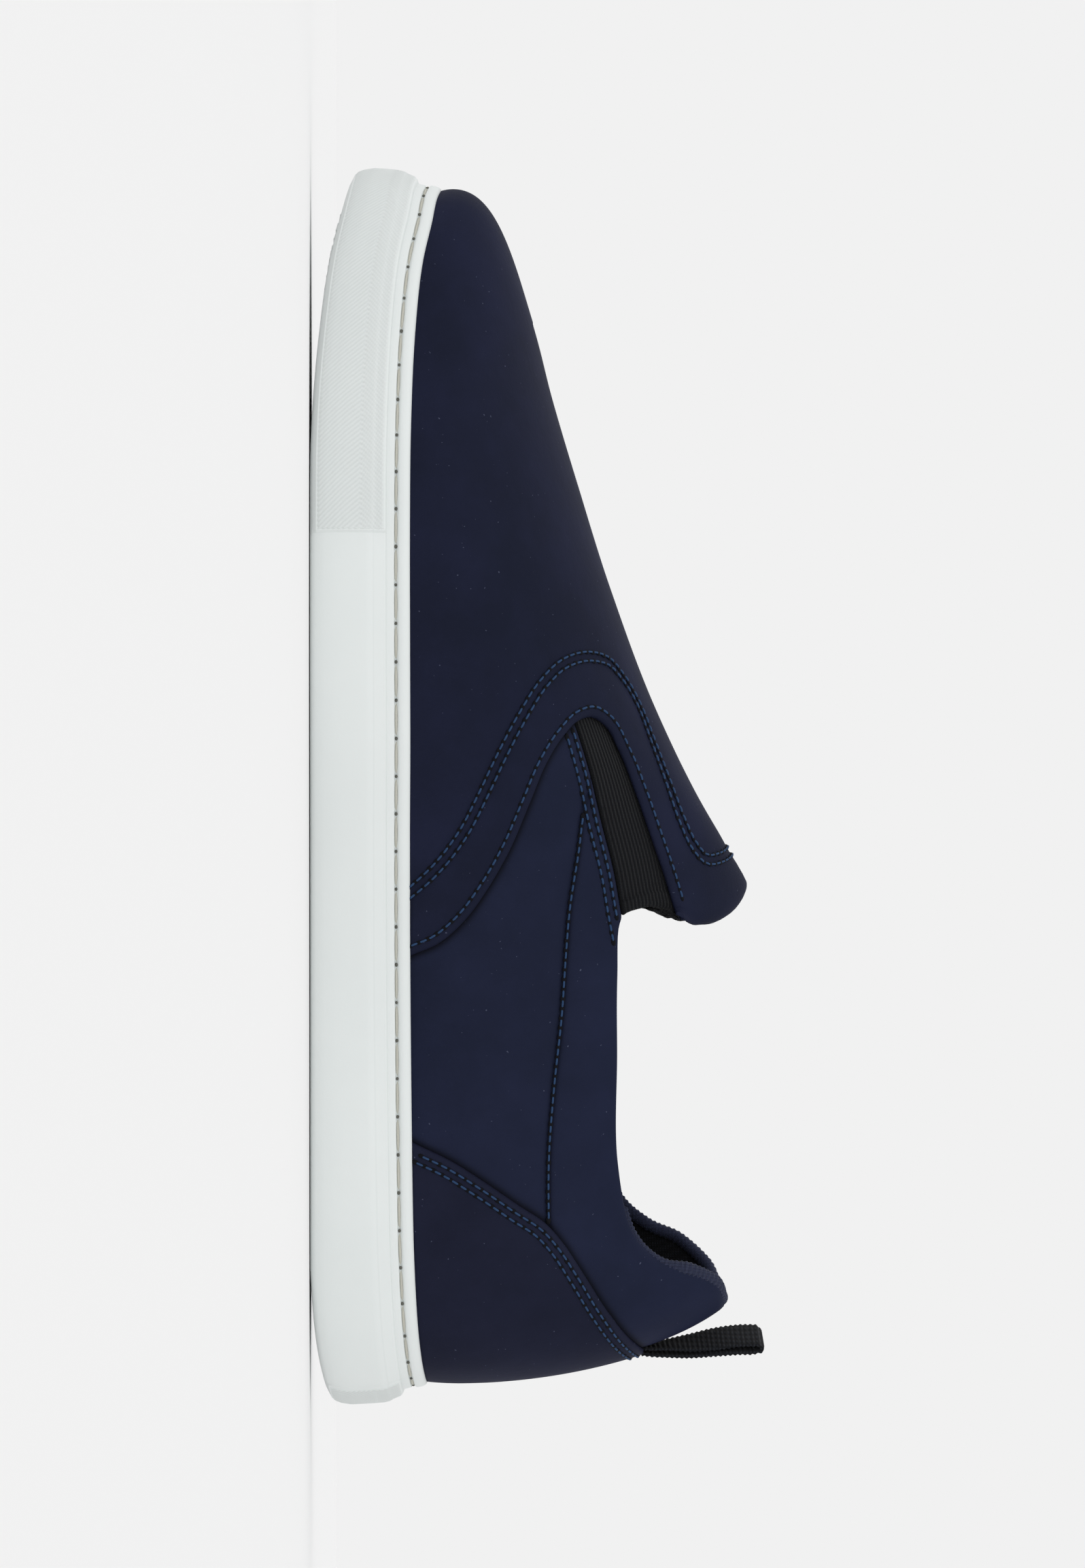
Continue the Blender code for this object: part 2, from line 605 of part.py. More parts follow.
def make_pull_loop():
    """A flat ribbon swept along its middle line, turned a little towards the lateral side as it rises."""
    places = [(p.along * LENGTH, p.up * HEEL_HEIGHT, p.turn * LOOP_TURN) for p in PULL_LOOP]
    places = np.array(places)
    lengths = np.linalg.norm(np.diff(places[:, :2], axis=0), axis=1)
    knots = np.concatenate([[0], np.cumsum(lengths)])
    at = []
    for start, end in zip(knots, knots[1:]):
        at += list(np.linspace(start, end, LOOP_STEPS, endpoint=False))
    at = np.array(at + [knots[-1]])
    ends = 2 * places[0] - places[1], 2 * places[-1] - places[-2]
    line = [smooth(knots, places[:, axis], ends[0][axis], ends[1][axis], at) for axis in range(3)]
    middle_y = SECTIONS[0].centre * BALL_WIDTH
    slope_x = np.gradient(line[0])
    slope_z = np.gradient(line[1])
    points = []
    for x, z, turn, dx, dz in zip(*line, slope_x, slope_z):
        across = Matrix.Rotation(np.radians(turn), 3, "Z") @ Vector((0, 1, 0))
        thick = Vector((dz, 0, -dx)).normalized()
        for side, face in ((-1, -1), (1, -1), (1, 1), (-1, 1)):
            corner = Vector((x, middle_y, z)) + across * (side * LOOP_WIDTH / 2)
            points.append(corner + thick * (face * LOOP_THICKNESS / 2))
    faces = [[0, 1, 2, 3], [len(points) - 4 + k for k in range(4)]]
    for k in range(len(at) - 1):
        for corner in range(4):
            following = (corner + 1) % 4
            faces.append([4 * k + corner, 4 * k + following, 4 * k + 4 + following, 4 * k + 4 + corner])
    piece = mesh_object("pull_loop", points, faces)
    face_outwards(piece)
    return piece


def make_vent(name, along, surface):
    """A round vent with a raised rim, seated on the medial side of the upper."""
    start = Vector((along * LENGTH, -BALL_WIDTH, VENT_UP * INSTEP_HEIGHT))
    place, normal = surface.ray_cast(start, Vector((0, 1, 0)))[:2]
    if normal.y > 0:
        normal = -normal
    turn = normal.to_track_quat("Z", "Y").to_matrix()
    seat = place + normal * VENT_SEAT
    points = []
    for radius, height in VENT_PROFILE:
        for k in range(VENT_SEGMENTS):
            angle = 2 * np.pi * k / VENT_SEGMENTS
            flat = Vector((np.cos(angle), np.sin(angle), 0)) * radius * VENT_RADIUS
            points.append(seat + turn @ (flat + Vector((0, 0, height * VENT_HEIGHT))))
    faces = [list(range(VENT_SEGMENTS)), list(range(len(points) - VENT_SEGMENTS, len(points)))]
    for row in range(len(VENT_PROFILE) - 1):
        for k in range(VENT_SEGMENTS):
            following = (k + 1) % VENT_SEGMENTS
            below = row * VENT_SEGMENTS
            above = below + VENT_SEGMENTS
            faces.append([below + k, below + following, above + following, above + k])
    piece = mesh_object(name, points, faces)
    face_outwards(piece)
    return piece


def surface_of(at):
    """The upper's outer surface, to seat small pieces on."""
    guide = sheet("surface guide", at, list(range(2 * (len(at) - 1) + 1)), 1, 0.0)
    mesh = guide.data
    corners = [vertex.co.copy() for vertex in mesh.vertices]
    tree = BVHTree.FromPolygons(corners, [list(face.vertices) for face in mesh.polygons])
    bpy.data.objects.remove(guide)
    return tree


def finish(piece):
    material = bpy.data.materials.new(piece.name)
    material.use_nodes = True
    shader = material.node_tree.nodes["Principled BSDF"]
    shader.inputs["Base Color"].default_value = (*COLOURS[piece.name], 1)
    shader.inputs["Roughness"].default_value = 0.35 if piece.name.startswith("vent") else 0.7
    shader.inputs["Metallic"].default_value = 0.8 if piece.name.startswith("vent") else 0.0
    piece.data.materials.append(material)
    piece.data.shade_smooth()
    piece.data.set_sharp_from_angle(angle=np.radians(30))


def main():
    for old in list(bpy.data.objects):
        bpy.data.objects.remove(old)
    at = stations()
    shoe = bpy.data.objects.new("shoe", None)
    bpy.context.scene.collection.objects.link(shoe)

    cupsole = make_cupsole(at)
    # The sole is the shoe's longest and widest piece, so its middle stands over the origin.
    corners = np.array([vertex.co for vertex in cupsole.data.vertices])
    middle = (corners.min(axis=0) + corners.max(axis=0)) / 2
    shoe.location = (-middle[0], -middle[1], 0)
    cut(cupsole, make_tread_cutter("fore tread cutter", FORE_TREAD_FROM, 1.0))
    cut(cupsole, make_tread_cutter("heel tread cutter", 0.0, HEEL_TREAD_TO))
    pieces = [cupsole, make_insole(at), make_upper(at), make_vamp(at), make_heel_counter(at)]
    pieces.append(make_gore("gore_lateral", at, medial=False))
    pieces.append(make_gore("gore_medial", at, medial=True))
    pieces.append(make_pull_loop())
    surface = surface_of(at)
    for name, along in VENT_ALONG.items():
        pieces.append(make_vent(name, along, surface))
    for piece in pieces:
        finish(piece)


main()
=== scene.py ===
import math
from collections import namedtuple

import bmesh
import bpy
import numpy as np
from mathutils import Matrix, Vector
from mathutils.bvhtree import BVHTree
from mathutils.kdtree import KDTree


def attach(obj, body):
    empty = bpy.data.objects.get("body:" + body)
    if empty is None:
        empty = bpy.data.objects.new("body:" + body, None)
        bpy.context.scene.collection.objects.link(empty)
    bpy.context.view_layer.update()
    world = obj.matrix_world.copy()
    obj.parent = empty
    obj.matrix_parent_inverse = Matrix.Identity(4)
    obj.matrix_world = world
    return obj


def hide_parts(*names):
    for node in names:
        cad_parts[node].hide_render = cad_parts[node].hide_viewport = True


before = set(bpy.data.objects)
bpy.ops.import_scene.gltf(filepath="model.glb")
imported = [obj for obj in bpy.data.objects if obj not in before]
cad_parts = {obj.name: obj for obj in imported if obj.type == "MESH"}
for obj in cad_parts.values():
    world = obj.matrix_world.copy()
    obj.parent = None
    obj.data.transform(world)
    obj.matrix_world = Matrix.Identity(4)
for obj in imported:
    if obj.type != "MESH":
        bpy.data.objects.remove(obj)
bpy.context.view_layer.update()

mm = 0.001

# Left slip-on sneaker. +X is the toe, +Y the lateral side, +Z up, all in metres.
# The tables are those that the solids were made from, so every surface lands on its solid.
shoe = {
    "length": 0.300,
    "ballWidth": 0.1096,
    "sideHeight": 0.0235,
    "toeSpring": 0.0095,
    "floorThickness": 0.009,
    "lipWidth": 0.0014,
    "lipInset": 0.0026,
    "lipEndInset": 0.0046,
    "gap": 0.0003,
    "shift": (-0.15005, 0.0000445, 0.0),  # from the tables' corner to the frame's origin
}

SoleRow = namedtuple("SoleRow", "round along lateral medial rise lip floor")
soleRows = [SoleRow(*row) for row in [
    (0.000, 0.000, 0.014, -0.014, 0.41, 1.204, 1.45),
    (0.038, 0.005, 0.132, 0.108, 0.38, 1.187, 1.45),
    (0.072, 0.022, 0.232, 0.204, 0.28, 1.149, 1.45),
    (0.115, 0.060, 0.321, 0.293, 0.12, 1.094, 1.45),
    (0.164, 0.116, 0.371, 0.337, 0.00, 1.051, 1.45),
    (0.236, 0.199, 0.391, 0.337, 0.00, 1.026, 1.45),
    (0.307, 0.282, 0.394, 0.318, 0.00, 1.013, 1.40),
    (0.378, 0.365, 0.408, 0.307, 0.00, 1.004, 1.30),
    (0.450, 0.448, 0.441, 0.321, 0.00, 1.000, 1.20),
    (0.523, 0.531, 0.486, 0.386, 0.00, 1.000, 1.10),
    (0.596, 0.614, 0.511, 0.465, 0.00, 0.996, 1.00),
    (0.667, 0.697, 0.497, 0.503, 0.00, 0.996, 1.00),
    (0.738, 0.780, 0.449, 0.502, 0.03, 1.009, 1.00),
    (0.812, 0.863, 0.364, 0.458, 0.23, 1.060, 0.95),
    (0.864, 0.919, 0.289, 0.401, 0.46, 1.136, 0.90),
    (0.908, 0.960, 0.203, 0.324, 0.73, 1.243, 0.88),
    (0.941, 0.985, 0.121, 0.244, 0.90, 1.300, 0.88),
    (0.970, 0.997, 0.032, 0.160, 0.98, 1.345, 0.88),
    (1.000, 1.000, -0.066, 0.066, 1.00, 1.357, 0.88),
]]

Section = namedtuple("Section", "round centre rise out reach drop")
sections = [Section(*row) for row in [
    (0.000, 0.014, 0.29, 0.022, 0.76, 0.20),
    (0.040, 0.015, 0.29, 0.022, 0.74, 0.21),
    (0.080, 0.017, 0.30, 0.024, 0.64, 0.24),
    (0.115, 0.020, 0.31, 0.027, 0.52, 0.28),
    (0.150, 0.023, 0.33, 0.027, 0.50, 0.30),
    (0.190, 0.026, 0.33, 0.026, 0.45, 0.30),
    (0.245, 0.030, 0.33, 0.024, 0.42, 0.30),
    (0.315, 0.032, 0.33, 0.022, 0.50, 0.30),
    (0.370, 0.028, 0.34, 0.016, 0.50, 0.31),
    (0.398, 0.025, 0.37, 0.014, 0.45, 0.30),
    (0.424, 0.021, 0.39, 0.014, 0.42, 0.27),
    (0.446, 0.017, 0.41, 0.014, 0.45, 0.22),
    (0.466, 0.013, 0.42, 0.014, 0.48, 0.17),
    (0.484, 0.009, 0.43, 0.014, 0.52, 0.12),
    (0.500, 0.004, 0.43, 0.014, 0.56, 0.10),
    (0.545, -0.014, 0.43, 0.014, 0.57, 0.09),
    (0.600, -0.023, 0.43, 0.014, 0.57, 0.085),
    (0.667, -0.032, 0.44, 0.014, 0.57, 0.063),
    (0.738, -0.041, 0.45, 0.017, 0.57, 0.064),
    (0.812, -0.050, 0.48, 0.020, 0.56, 0.088),
    (0.880, -0.056, 0.50, 0.024, 0.60, 0.15),
    (0.940, -0.060, 0.50, 0.027, 0.68, 0.27),
    (1.000, -0.062, 0.48, 0.029, 0.70, 0.31),
]]

# The upper's top edge in millimetres: collar, gore, tab and then the ridge down to the toe.
TopRow = namedtuple("TopRow", "round along half height ahead")
topRows = [TopRow(*row) for row in [
    (0.000, 23.7, 0.0, 102.4, 0),
    (0.040, 25.2, 8.0, 101.8, 0),
    (0.080, 30.0, 15.0, 99.2, 1.8),
    (0.115, 33.9, 19.5, 92.0, 4.5),
    (0.150, 36.3, 22.0, 83.8, 6.0),
    (0.190, 42.9, 25.0, 77.6, 4.8),
    (0.245, 60.0, 28.6, 73.6, 1.8),
    (0.315, 86.1, 30.8, 73.3, 0),
    (0.370, 105.0, 30.6, 73.4, 0),
    (0.390, 116.2, 30.4, 73.8, 0),
    (0.400, 118.6, 30.1, 75.0, 0),
    (0.412, 120.2, 29.2, 79.0, 0),
    (0.424, 121.2, 27.6, 83.5, 0),
    (0.434, 120.2, 25.9, 87.0, 0),
    (0.446, 118.4, 23.2, 91.0, 0),
    (0.460, 117.4, 19.6, 94.8, 0),
    (0.473, 118.1, 15.1, 98.8, 0),
    (0.484, 120.3, 10.1, 102.4, 0),
    (0.492, 122.5, 5.5, 104.5, 0),
    (0.500, 124.5, 0, 105.8, 0),
    (0.545, 142.5, 0, 95.0, 0),
    (0.600, 167.4, 0, 83.05, 0),
    (0.667, 195.9, 0, 72.3, 0),
    (0.738, 222.0, 0, 64.1, 0),
    (0.812, 243.0, 0, 57.9, 0),
    (0.880, 255.0, 0, 54.9, 0),
    (0.940, 261.0, 0, 53.3, 0),
    (1.000, 263.1, 0, 52.9, 0),
]]
tabTip = 19
tabRound = topRows[tabTip].round
arch = {"bulge": 0.0135, "at": 0.38, "spread": 0.14, "topShare": 0.75, "topAt": 0.33, "topSpread": 0.11}

# Panel edges and seams in side view: millimetres from the heel, millimetres from the ground.
lines = {
    "saddleSeam": [(121, 18), (125.2, 24.1), (130.9, 30.1), (139, 36), (147.8, 40.4), (157.5, 44.9),
                   (166.4, 49.5), (173.8, 54.2), (178.2, 58.9), (180, 65), (179, 69.6), (175.2, 73.4),
                   (168.6, 77.4), (160.5, 80.5), (150.2, 84.3), (140.5, 88), (134.6, 91.1), (131.6, 94.2),
                   (131.9, 98), (134.5, 103)],
    "vampEdge": [(104, 14), (109.6, 23.9), (112.3, 30.1), (117.4, 36), (125.6, 42), (135.2, 47.3),
                 (145.7, 51.7), (155.3, 55.7), (161.3, 59.5), (165, 63.3), (165.8, 66.3), (164.1, 69.4),
                 (157.5, 73.3), (147.8, 77.2), (137.5, 80.9), (127.1, 84.6), (120.8, 86.5), (108, 90.2)],
    "gussetEdge": [(176, 58.5), (163.1, 63.3), (153, 66.4), (140.5, 69.4), (129.4, 72.3), (118.3, 74.4),
                   (104, 78), (90, 88), (76, 108), (62, 140)],
    "collarSeam": [(147, 65.6), (144.9, 65), (133.7, 63.4), (121.1, 61.5), (109.3, 60.5), (96, 59.6),
                   (77, 57.6), (61, 56.5), (47.3, 56.5), (38, 56.7)],
    "counterEdge": [(71, 14), (65.4, 24.2), (61, 33.2), (55.8, 41.3), (50.2, 49.3), (45.7, 55.8),
                    (40.9, 60), (34.4, 64.3), (24.8, 70.4), (17.4, 76), (11.5, 82.2), (4, 90)],
}


def smooth(knots, values, before, after, at):
    # smooth curve through values at knots, with one more value taken before and after them
    knots = np.concatenate([[2 * knots[0] - knots[1]], knots, [2 * knots[-1] - knots[-2]]])
    values = np.concatenate([[before], values, [after]])
    steps = np.diff(knots)
    slopes = np.diff(values) / steps
    tangents = (slopes[:-1] * steps[1:] + slopes[1:] * steps[:-1]) / (steps[:-1] + steps[1:])
    inner = knots[1:-1]
    span = np.clip(np.searchsorted(inner, at, side="right") - 1, 0, len(inner) - 2)
    width = inner[span + 1] - inner[span]
    t = (np.asarray(at) - inner[span]) / width
    return (
        (2 * t**3 - 3 * t**2 + 1) * values[1:-1][span]
        + (t**3 - 2 * t**2 + t) * width * tangents[span]
        + (3 * t**2 - 2 * t**3) * values[1:-1][span + 1]
        + (t**3 - t**2) * width * tangents[span + 1]
    )


def smoothPath(places, knots, at):
    before, after = 2 * places[0] - places[1], 2 * places[-1] - places[-2]
    columns = range(places.shape[1])
    return np.column_stack([smooth(knots, places[:, k], before[k], after[k], at) for k in columns])


def lengthsOf(path):
    # how far along a path each of its points lies
    return np.concatenate([[0], np.cumsum(np.linalg.norm(np.diff(path, axis=0), axis=1))])


def unit(vectors):
    return vectors / np.linalg.norm(vectors, axis=-1, keepdims=True)


def column(rows, name):
    return np.array([getattr(row, name) for row in rows], float)


def level(rows, name, at):
    # a table's column at any place between heel (0) and toe (1)
    values = column(rows, name)
    return smooth(column(rows, "round"), values, values[1], values[-2], at)


def ring(lateral, medial):
    # heel to toe on the lateral side and back on the medial side
    return np.concatenate([lateral, medial[-2:0:-1]])


def edge(at):
    # the sole's widest edge as a closed ring, and the outward direction at each point
    knots = column(soleRows, "round")
    sides = {}
    for name, other in (("lateral", "medial"), ("medial", "lateral")):
        half = column(soleRows, name)
        far = column(soleRows, other)
        sides[name] = smooth(knots, half, -far[1], -far[-2], at) * shoe["ballWidth"]
    along = level(soleRows, "along", at) * shoe["length"]
    points = np.stack([ring(along, along), ring(sides["lateral"], -sides["medial"])], axis=1)
    forward = unit(np.roll(points, -1, axis=0) - points)
    tangent = forward + np.roll(forward, 1, axis=0)
    return points, unit(np.stack([-tangent[:, 1], tangent[:, 0]], axis=1))


def heights(at):
    # the sole's bottom edge, its lip and the cup's floor, all round
    bottom = np.maximum(level(soleRows, "rise", at), 0) * shoe["toeSpring"]
    lip = level(soleRows, "lip", at) * shoe["sideHeight"]
    floor = bottom + level(soleRows, "floor", at) * shoe["floorThickness"]
    return ring(bottom, bottom), ring(lip, lip), ring(floor, floor)


def insetRing(at, inset, endInset, z):
    # a ring inside the widest edge, by one inset along the sides and another at toe and heel
    points, outward = edge(at)
    end = np.abs(outward[:, 0]) ** 1.5
    depth = inset * (1 - end) + endInset * end
    return np.column_stack([points - outward * depth[:, None], z])


def cupInside(at, clearance, z):
    # the cup's inner wall, or anything that stands clear of it
    inner = shoe["lipWidth"] + clearance
    return insetRing(at, shoe["lipInset"] + inner, shoe["lipEndInset"] + inner, z)


# The leather bends softly under the tab's tip, where the edge of the opening turns into the ridge:
# how far round from the tip it eases, in how many passes, and how steeply it fades out near the edge.
tabCorner = {"spread": 0.06, "passes": 60, "fade": 4}


def easeTabCorner(grid, climb, around):
    near = np.exp(-(((around - tabRound) / tabCorner["spread"]) ** 2))
    weight = (near[None] * np.clip((1 - np.array(climb)) * tabCorner["fade"], 0, 1)[:, None])[:, :, None]
    for _ in range(tabCorner["passes"]):
        soft = (np.roll(grid, 1, axis=1) + np.roll(grid, -1, axis=1)) / 2
        grid = grid + (soft - grid) * 0.5 * weight
    return grid


# How far the soft top edge rounds inwards, in millimetres, round the opening: padded at the heel.
rimRoll = {"round": [0.0, 0.08, 0.16, 0.26, 0.39, 0.43, 0.5, 0.53, 1.0],
           "radius": [3.2, 3.2, 2.4, 1.2, 0.9, 1.6, 2.2, 2.2, 2.2]}


def rimDistance(grid, at):
    # distance of every point to the edge of the opening
    whole = grid.shape[1]
    last = int(np.searchsorted(at, tabRound))
    opening = [k % whole for k in range(-last, last + 1)]
    rim = grid[-1, opening]
    steps = [rim[:1]]
    for start, end in zip(rim, rim[1:]):
        share = np.linspace(0, 1, 9)[1:, None]
        steps.append(start * (1 - share) + end * share)
    rim = np.concatenate(steps)
    tree = KDTree(len(rim))
    for k, point in enumerate(rim):
        tree.insert(point, k)
    tree.balance()
    found = np.array([tree.find(point)[2] for point in grid.reshape(-1, 3)]).reshape(grid.shape[:2])
    found[-1, opening] = 0
    return found


def gridNormalsOf(grid, at):
    # outward normals, shared by the two sides where they meet on the ridge
    across = np.roll(grid, -1, axis=1) - np.roll(grid, 1, axis=1)
    rising = np.gradient(grid, axis=0)
    toe = len(at) - 1
    across[-1, toe] = across[-2, toe]
    normals = unit(np.cross(rising, across))
    whole = grid.shape[1]
    for k in range(len(at)):
        if at[k] >= tabRound:
            opposite = (whole - k) % whole
            normals[-1, k] = normals[-1, opposite] = unit(normals[-1, k] + normals[-1, opposite])
    return normals


def upperGrid(at, climb):
    # points of the upper's outer surface, rows from the cup floor up, and its outward normals
    lip, floor = heights(at)[1:]
    foot = cupInside(at, shoe["gap"], lip)
    outward = np.column_stack([edge(at)[1], np.zeros(len(foot))])
    knots = column(topRows, "round")
    opening = slice(0, tabTip + 1)
    ridge = slice(tabTip, None)

    def topOf(name, sign):
        values = column(topRows, name) * mm
        ends = sign * values[1], sign * values[tabTip - 1]
        over = smooth(knots[opening], values[opening], *ends, at)
        after = smooth(knots[ridge], values[ridge], values[tabTip], values[-2], at)
        return np.where(at <= tabRound, over, after)

    along = topOf("along", 1)
    medialAlong = along + topOf("ahead", 1)
    half = np.where(at < tabRound, topOf("half", -1), 0.0)
    half[0] = 0.0
    height = topOf("height", 1)
    centre = level(sections, "centre", at) * shoe["ballWidth"]
    across = ring(centre + half, centre - half)
    top = np.column_stack([ring(along, medialAlong), across, ring(height, height)])

    handles = ("rise", "out", "reach", "drop")
    shares = {name: ring(*[level(sections, name, at)] * 2) for name in handles}
    medial = np.concatenate([np.zeros(len(at)), np.ones(len(foot) - len(at))])
    around = ring(at, at)
    bulge = medial * arch["bulge"] * np.exp(-(((around - arch["at"]) / arch["spread"]) ** 2))
    high = medial * arch["bulge"] * arch["topShare"]
    high *= np.exp(-(((around - arch["topAt"]) / arch["topSpread"]) ** 2))
    tall = top[:, 2] - foot[:, 2]
    lower = foot + outward * (shares["out"] * shoe["ballWidth"] + bulge)[:, None]
    lower[:, 2] += shares["rise"] * tall
    upper = top + (foot - top) * shares["reach"][:, None] + outward * high[:, None]
    upper[:, 2] = top[:, 2] - shares["drop"] * tall

    buried = foot.copy()
    buried[:, 2] = floor + shoe["gap"]
    rows = [buried, (buried + foot) / 2]
    for t in climb:
        curve = (1 - t) ** 3 * foot + 3 * (1 - t) ** 2 * t * lower
        rows.append(curve + 3 * (1 - t) * t**2 * upper + t**3 * top)
    grid = np.array(rows)
    grid = easeTabCorner(grid, np.concatenate([[0, 0], climb]), around)

    normals = gridNormalsOf(grid, at)
    rim = rimDistance(grid, at)
    radius = np.interp(around, rimRoll["round"], rimRoll["radius"])[None] * mm
    share = np.clip(1 - rim / radius, 0, 1)
    grid = grid - normals * (radius * (1 - np.sqrt(1 - share**2)))[:, :, None]
    return grid, gridNormalsOf(grid, at), rim


def sideLine(name, steps=8):
    # a seam's smooth line in side view, in the tables' metres
    places = np.array(lines[name]) * mm
    knots = lengthsOf(places)
    at = np.concatenate([np.linspace(a, b, steps, endpoint=False) for a, b in zip(knots, knots[1:])])
    return smoothPath(places, knots, np.append(at, knots[-1]))


def lineDistance(line, points, normals):
    # distance over the surface to a side-view line, positive on the left of its direction
    start, ab = line[:-1], np.diff(line, axis=0)
    size = (ab**2).sum(axis=1)
    found = np.empty(len(points))
    batch = 6000
    steepest = 0.12
    for first in range(0, len(points), batch):
        part = slice(first, first + batch)
        flat = points[part][:, [0, 2]]
        ap = flat[:, None, :] - start[None]
        t = np.clip((ap * ab).sum(axis=2) / size, 0, 1)
        away = ap - t[:, :, None] * ab
        far = (away**2).sum(axis=2)
        best = far.argmin(axis=1)
        rows = np.arange(len(flat))
        cross = ab[best, 0] * ap[rows, best, 1] - ab[best, 1] * ap[rows, best, 0]
        lead = np.column_stack([-ab[best, 1], ab[best, 0]]) / np.sqrt(size[best])[:, None]
        tilt = (lead * normals[part][:, [0, 2]]).sum(axis=1)
        slope = np.sqrt(np.maximum(1 - tilt**2, steepest))
        found[part] = np.sign(cross) * np.sqrt(far[rows, best]) / slope
    return found


def hexColour(text):
    # sRGB hex to linear RGBA
    channels = [int(text[k:k + 2], 16) / 255 for k in (0, 2, 4)]
    return tuple(c / 12.92 if c <= 0.04045 else ((c + 0.055) / 1.055) ** 2.4 for c in channels) + (1.0,)


def fill(tree, node, inputs):
    # an input takes a value or another node's output, by name or by place
    for key, value in inputs.items() if isinstance(inputs, dict) else enumerate(inputs):
        if isinstance(value, bpy.types.NodeSocket):
            tree.links.new(value, node.inputs[key])
        elif value is not None:
            node.inputs[key].default_value = value


def addNode(tree, kind, inputs=(), give=0, **settings):
    # adds a node with its settings and links, and gives one of its outputs
    node = tree.nodes.new(kind)
    for key, value in settings.items():
        setattr(node, key, value)
    fill(tree, node, inputs)
    return node.outputs[give]


def patternOf(tree, place, kind, *values):
    # a value from 0 to 1 over the surface
    if kind == "noise":
        # features per metre, detail, roughness and, if given, the range that is stretched to 0 and 1
        inputs = dict(zip(("Scale", "Detail", "Roughness"), values))
        noise = addNode(tree, "ShaderNodeTexNoise", {"Vector": place, **inputs}, "Fac")
        return addNode(tree, "ShaderNodeMapRange", [noise, *values[3:]]) if values[3:] else noise
    if kind == "yarn":
        # crossed waves of yarn: the texture makes 20 / 2 pi of them to the metre for each unit of its scale
        inputs = {"Vector": place, "Scale": values[0], "Distortion": 0.6, "Detail": 1.0}
        waves = [addNode(tree, "ShaderNodeTexWave", inputs, "Fac", bands_direction=way) for way in "XZ"]
        return addNode(tree, "ShaderNodeMath", waves, operation="MULTIPLY")
    field = addNode(tree, "ShaderNodeAttribute", (), "Fac", attribute_name=values[0])
    if kind == "line":
        # 1 on a seam, falling off smoothly over the width
        ratio = addNode(tree, "ShaderNodeMath", [field, values[1]], operation="DIVIDE")
        square = addNode(tree, "ShaderNodeMath", [ratio, 2.0], operation="POWER")
        below = addNode(tree, "ShaderNodeMath", [square, -1.0], operation="MULTIPLY")
        return addNode(tree, "ShaderNodeMath", [below], operation="EXPONENT")
    if kind == "valleys":
        # 1 between ribs that follow a distance the mesh carries, so many to its unit
        turns = addNode(tree, "ShaderNodeMath", [field, 2 * math.pi * values[1]], operation="MULTIPLY")
        wave = addNode(tree, "ShaderNodeMath", [turns], operation="COSINE")
        return addNode(tree, "ShaderNodeMath", [wave, -0.5, 0.5], operation="MULTIPLY_ADD")
    return field


def makeMaterial(name, base, layers, finish):
    # every layer: its pattern, the colour it paints with what share, its depth in metres and strength
    material = bpy.data.materials.new(name)
    material.use_nodes = True
    tree = material.node_tree
    place = addNode(tree, "ShaderNodeTexCoord", (), "Object")
    colour, normal = hexColour(base), None
    for pattern, tone, share, depth, strength in layers:
        mask = patternOf(tree, place, *pattern)
        if tone:
            factor = addNode(tree, "ShaderNodeMath", [mask, share], operation="MULTIPLY")
            mixed = {0: factor, 6: colour, 7: hexColour(tone) if isinstance(tone, str) else tone}
            colour = addNode(tree, "ShaderNodeMix", mixed, 2, data_type="RGBA")
        if depth:
            relief = {"Height": mask, "Distance": abs(depth), "Strength": strength, "Normal": normal}
            normal = addNode(tree, "ShaderNodeBump", relief, invert=depth < 0)
    fill(tree, tree.nodes["Principled BSDF"], {"Base Color": colour, "Normal": normal, **finish})
    return material


# Rubberised nubuck: split leather with a thin soft coating, so nearly matt with a faint violet bloom,
# pale lint in its nap, painted shade in its seam grooves and a painted shadow line beside the overlays'
# edges.
nubuck = {
    "lint": "6a7088",
    "shadow": "06070d",
    # the seams' grooves and the leather beside the overlays' edges are darkened with the shadow colour:
    # painted shade
    "seam": {"width": 0.0008, "depth": -0.00045, "share": 0.35},
    "edge": {"width": 0.0011, "depth": 0, "share": 0.8},
    "finish": {"Roughness": 0.72, "Specular IOR Level": 0.07, "Sheen Weight": 0.025,
               "Sheen Roughness": 0.45, "Sheen Tint": hexColour("6a5fa8")},
}


def makeNubuck(name, navy, deep, seams=(), edges=()):
    layers = [
        (("noise", 38.0, 4.0, 0.6, 0.35, 0.68), navy, 1.0, 0, 0),  # clouds of 26 mm
        (("noise", 1300.0, 1.0, 0.4, 0.785, 0.81), nubuck["lint"], 0.35, 0, 0),  # lint of 0.8 mm
        (("noise", 2600.0, 2.0, 0.6), None, 0, 0.00005, 0.6),  # nap of 0.4 mm, coarser than real nap
        (("noise", 420.0, 3.0, 0.55), None, 0, 0.00012, 0.5),  # soft grain of 2.4 mm
    ]
    # seams get painted shade in their grooves, edges a painted shadow line beside them
    for names, look in ((seams, nubuck["seam"]), (edges, nubuck["edge"])):
        for line in names:
            layers.append((("line", line, look["width"]), nubuck["shadow"], look["share"], look["depth"], 1))
    return makeMaterial(name, deep, layers, nubuck["finish"])


def makeRubber(name, valleys=None):
    # Moulded white rubber: pressed in a mould, so even and satin, with a faint grey cloud.
    layers = [(("noise", 22.0, 3.0, 0.5), "e6eae9", 1.0, 0, 0)]  # clouds of 45 mm
    # a piece may carry an amount of painted shade, which darkens the rubber to grey in its grooves and at its
    # steps
    if valleys:
        layers.append((("field", valleys), "b9c0be", 1.0, 0, 0))
    layers.append((("noise", 1500.0, 2.0, 0.5), None, 0, 0.00003, 0.5))  # mould grain of 0.7 mm
    return makeMaterial(name, "dde2e1", layers, {
        "Roughness": 0.48, "Subsurface Weight": 0.06, "Subsurface Radius": (0.002, 0.002, 0.002)})


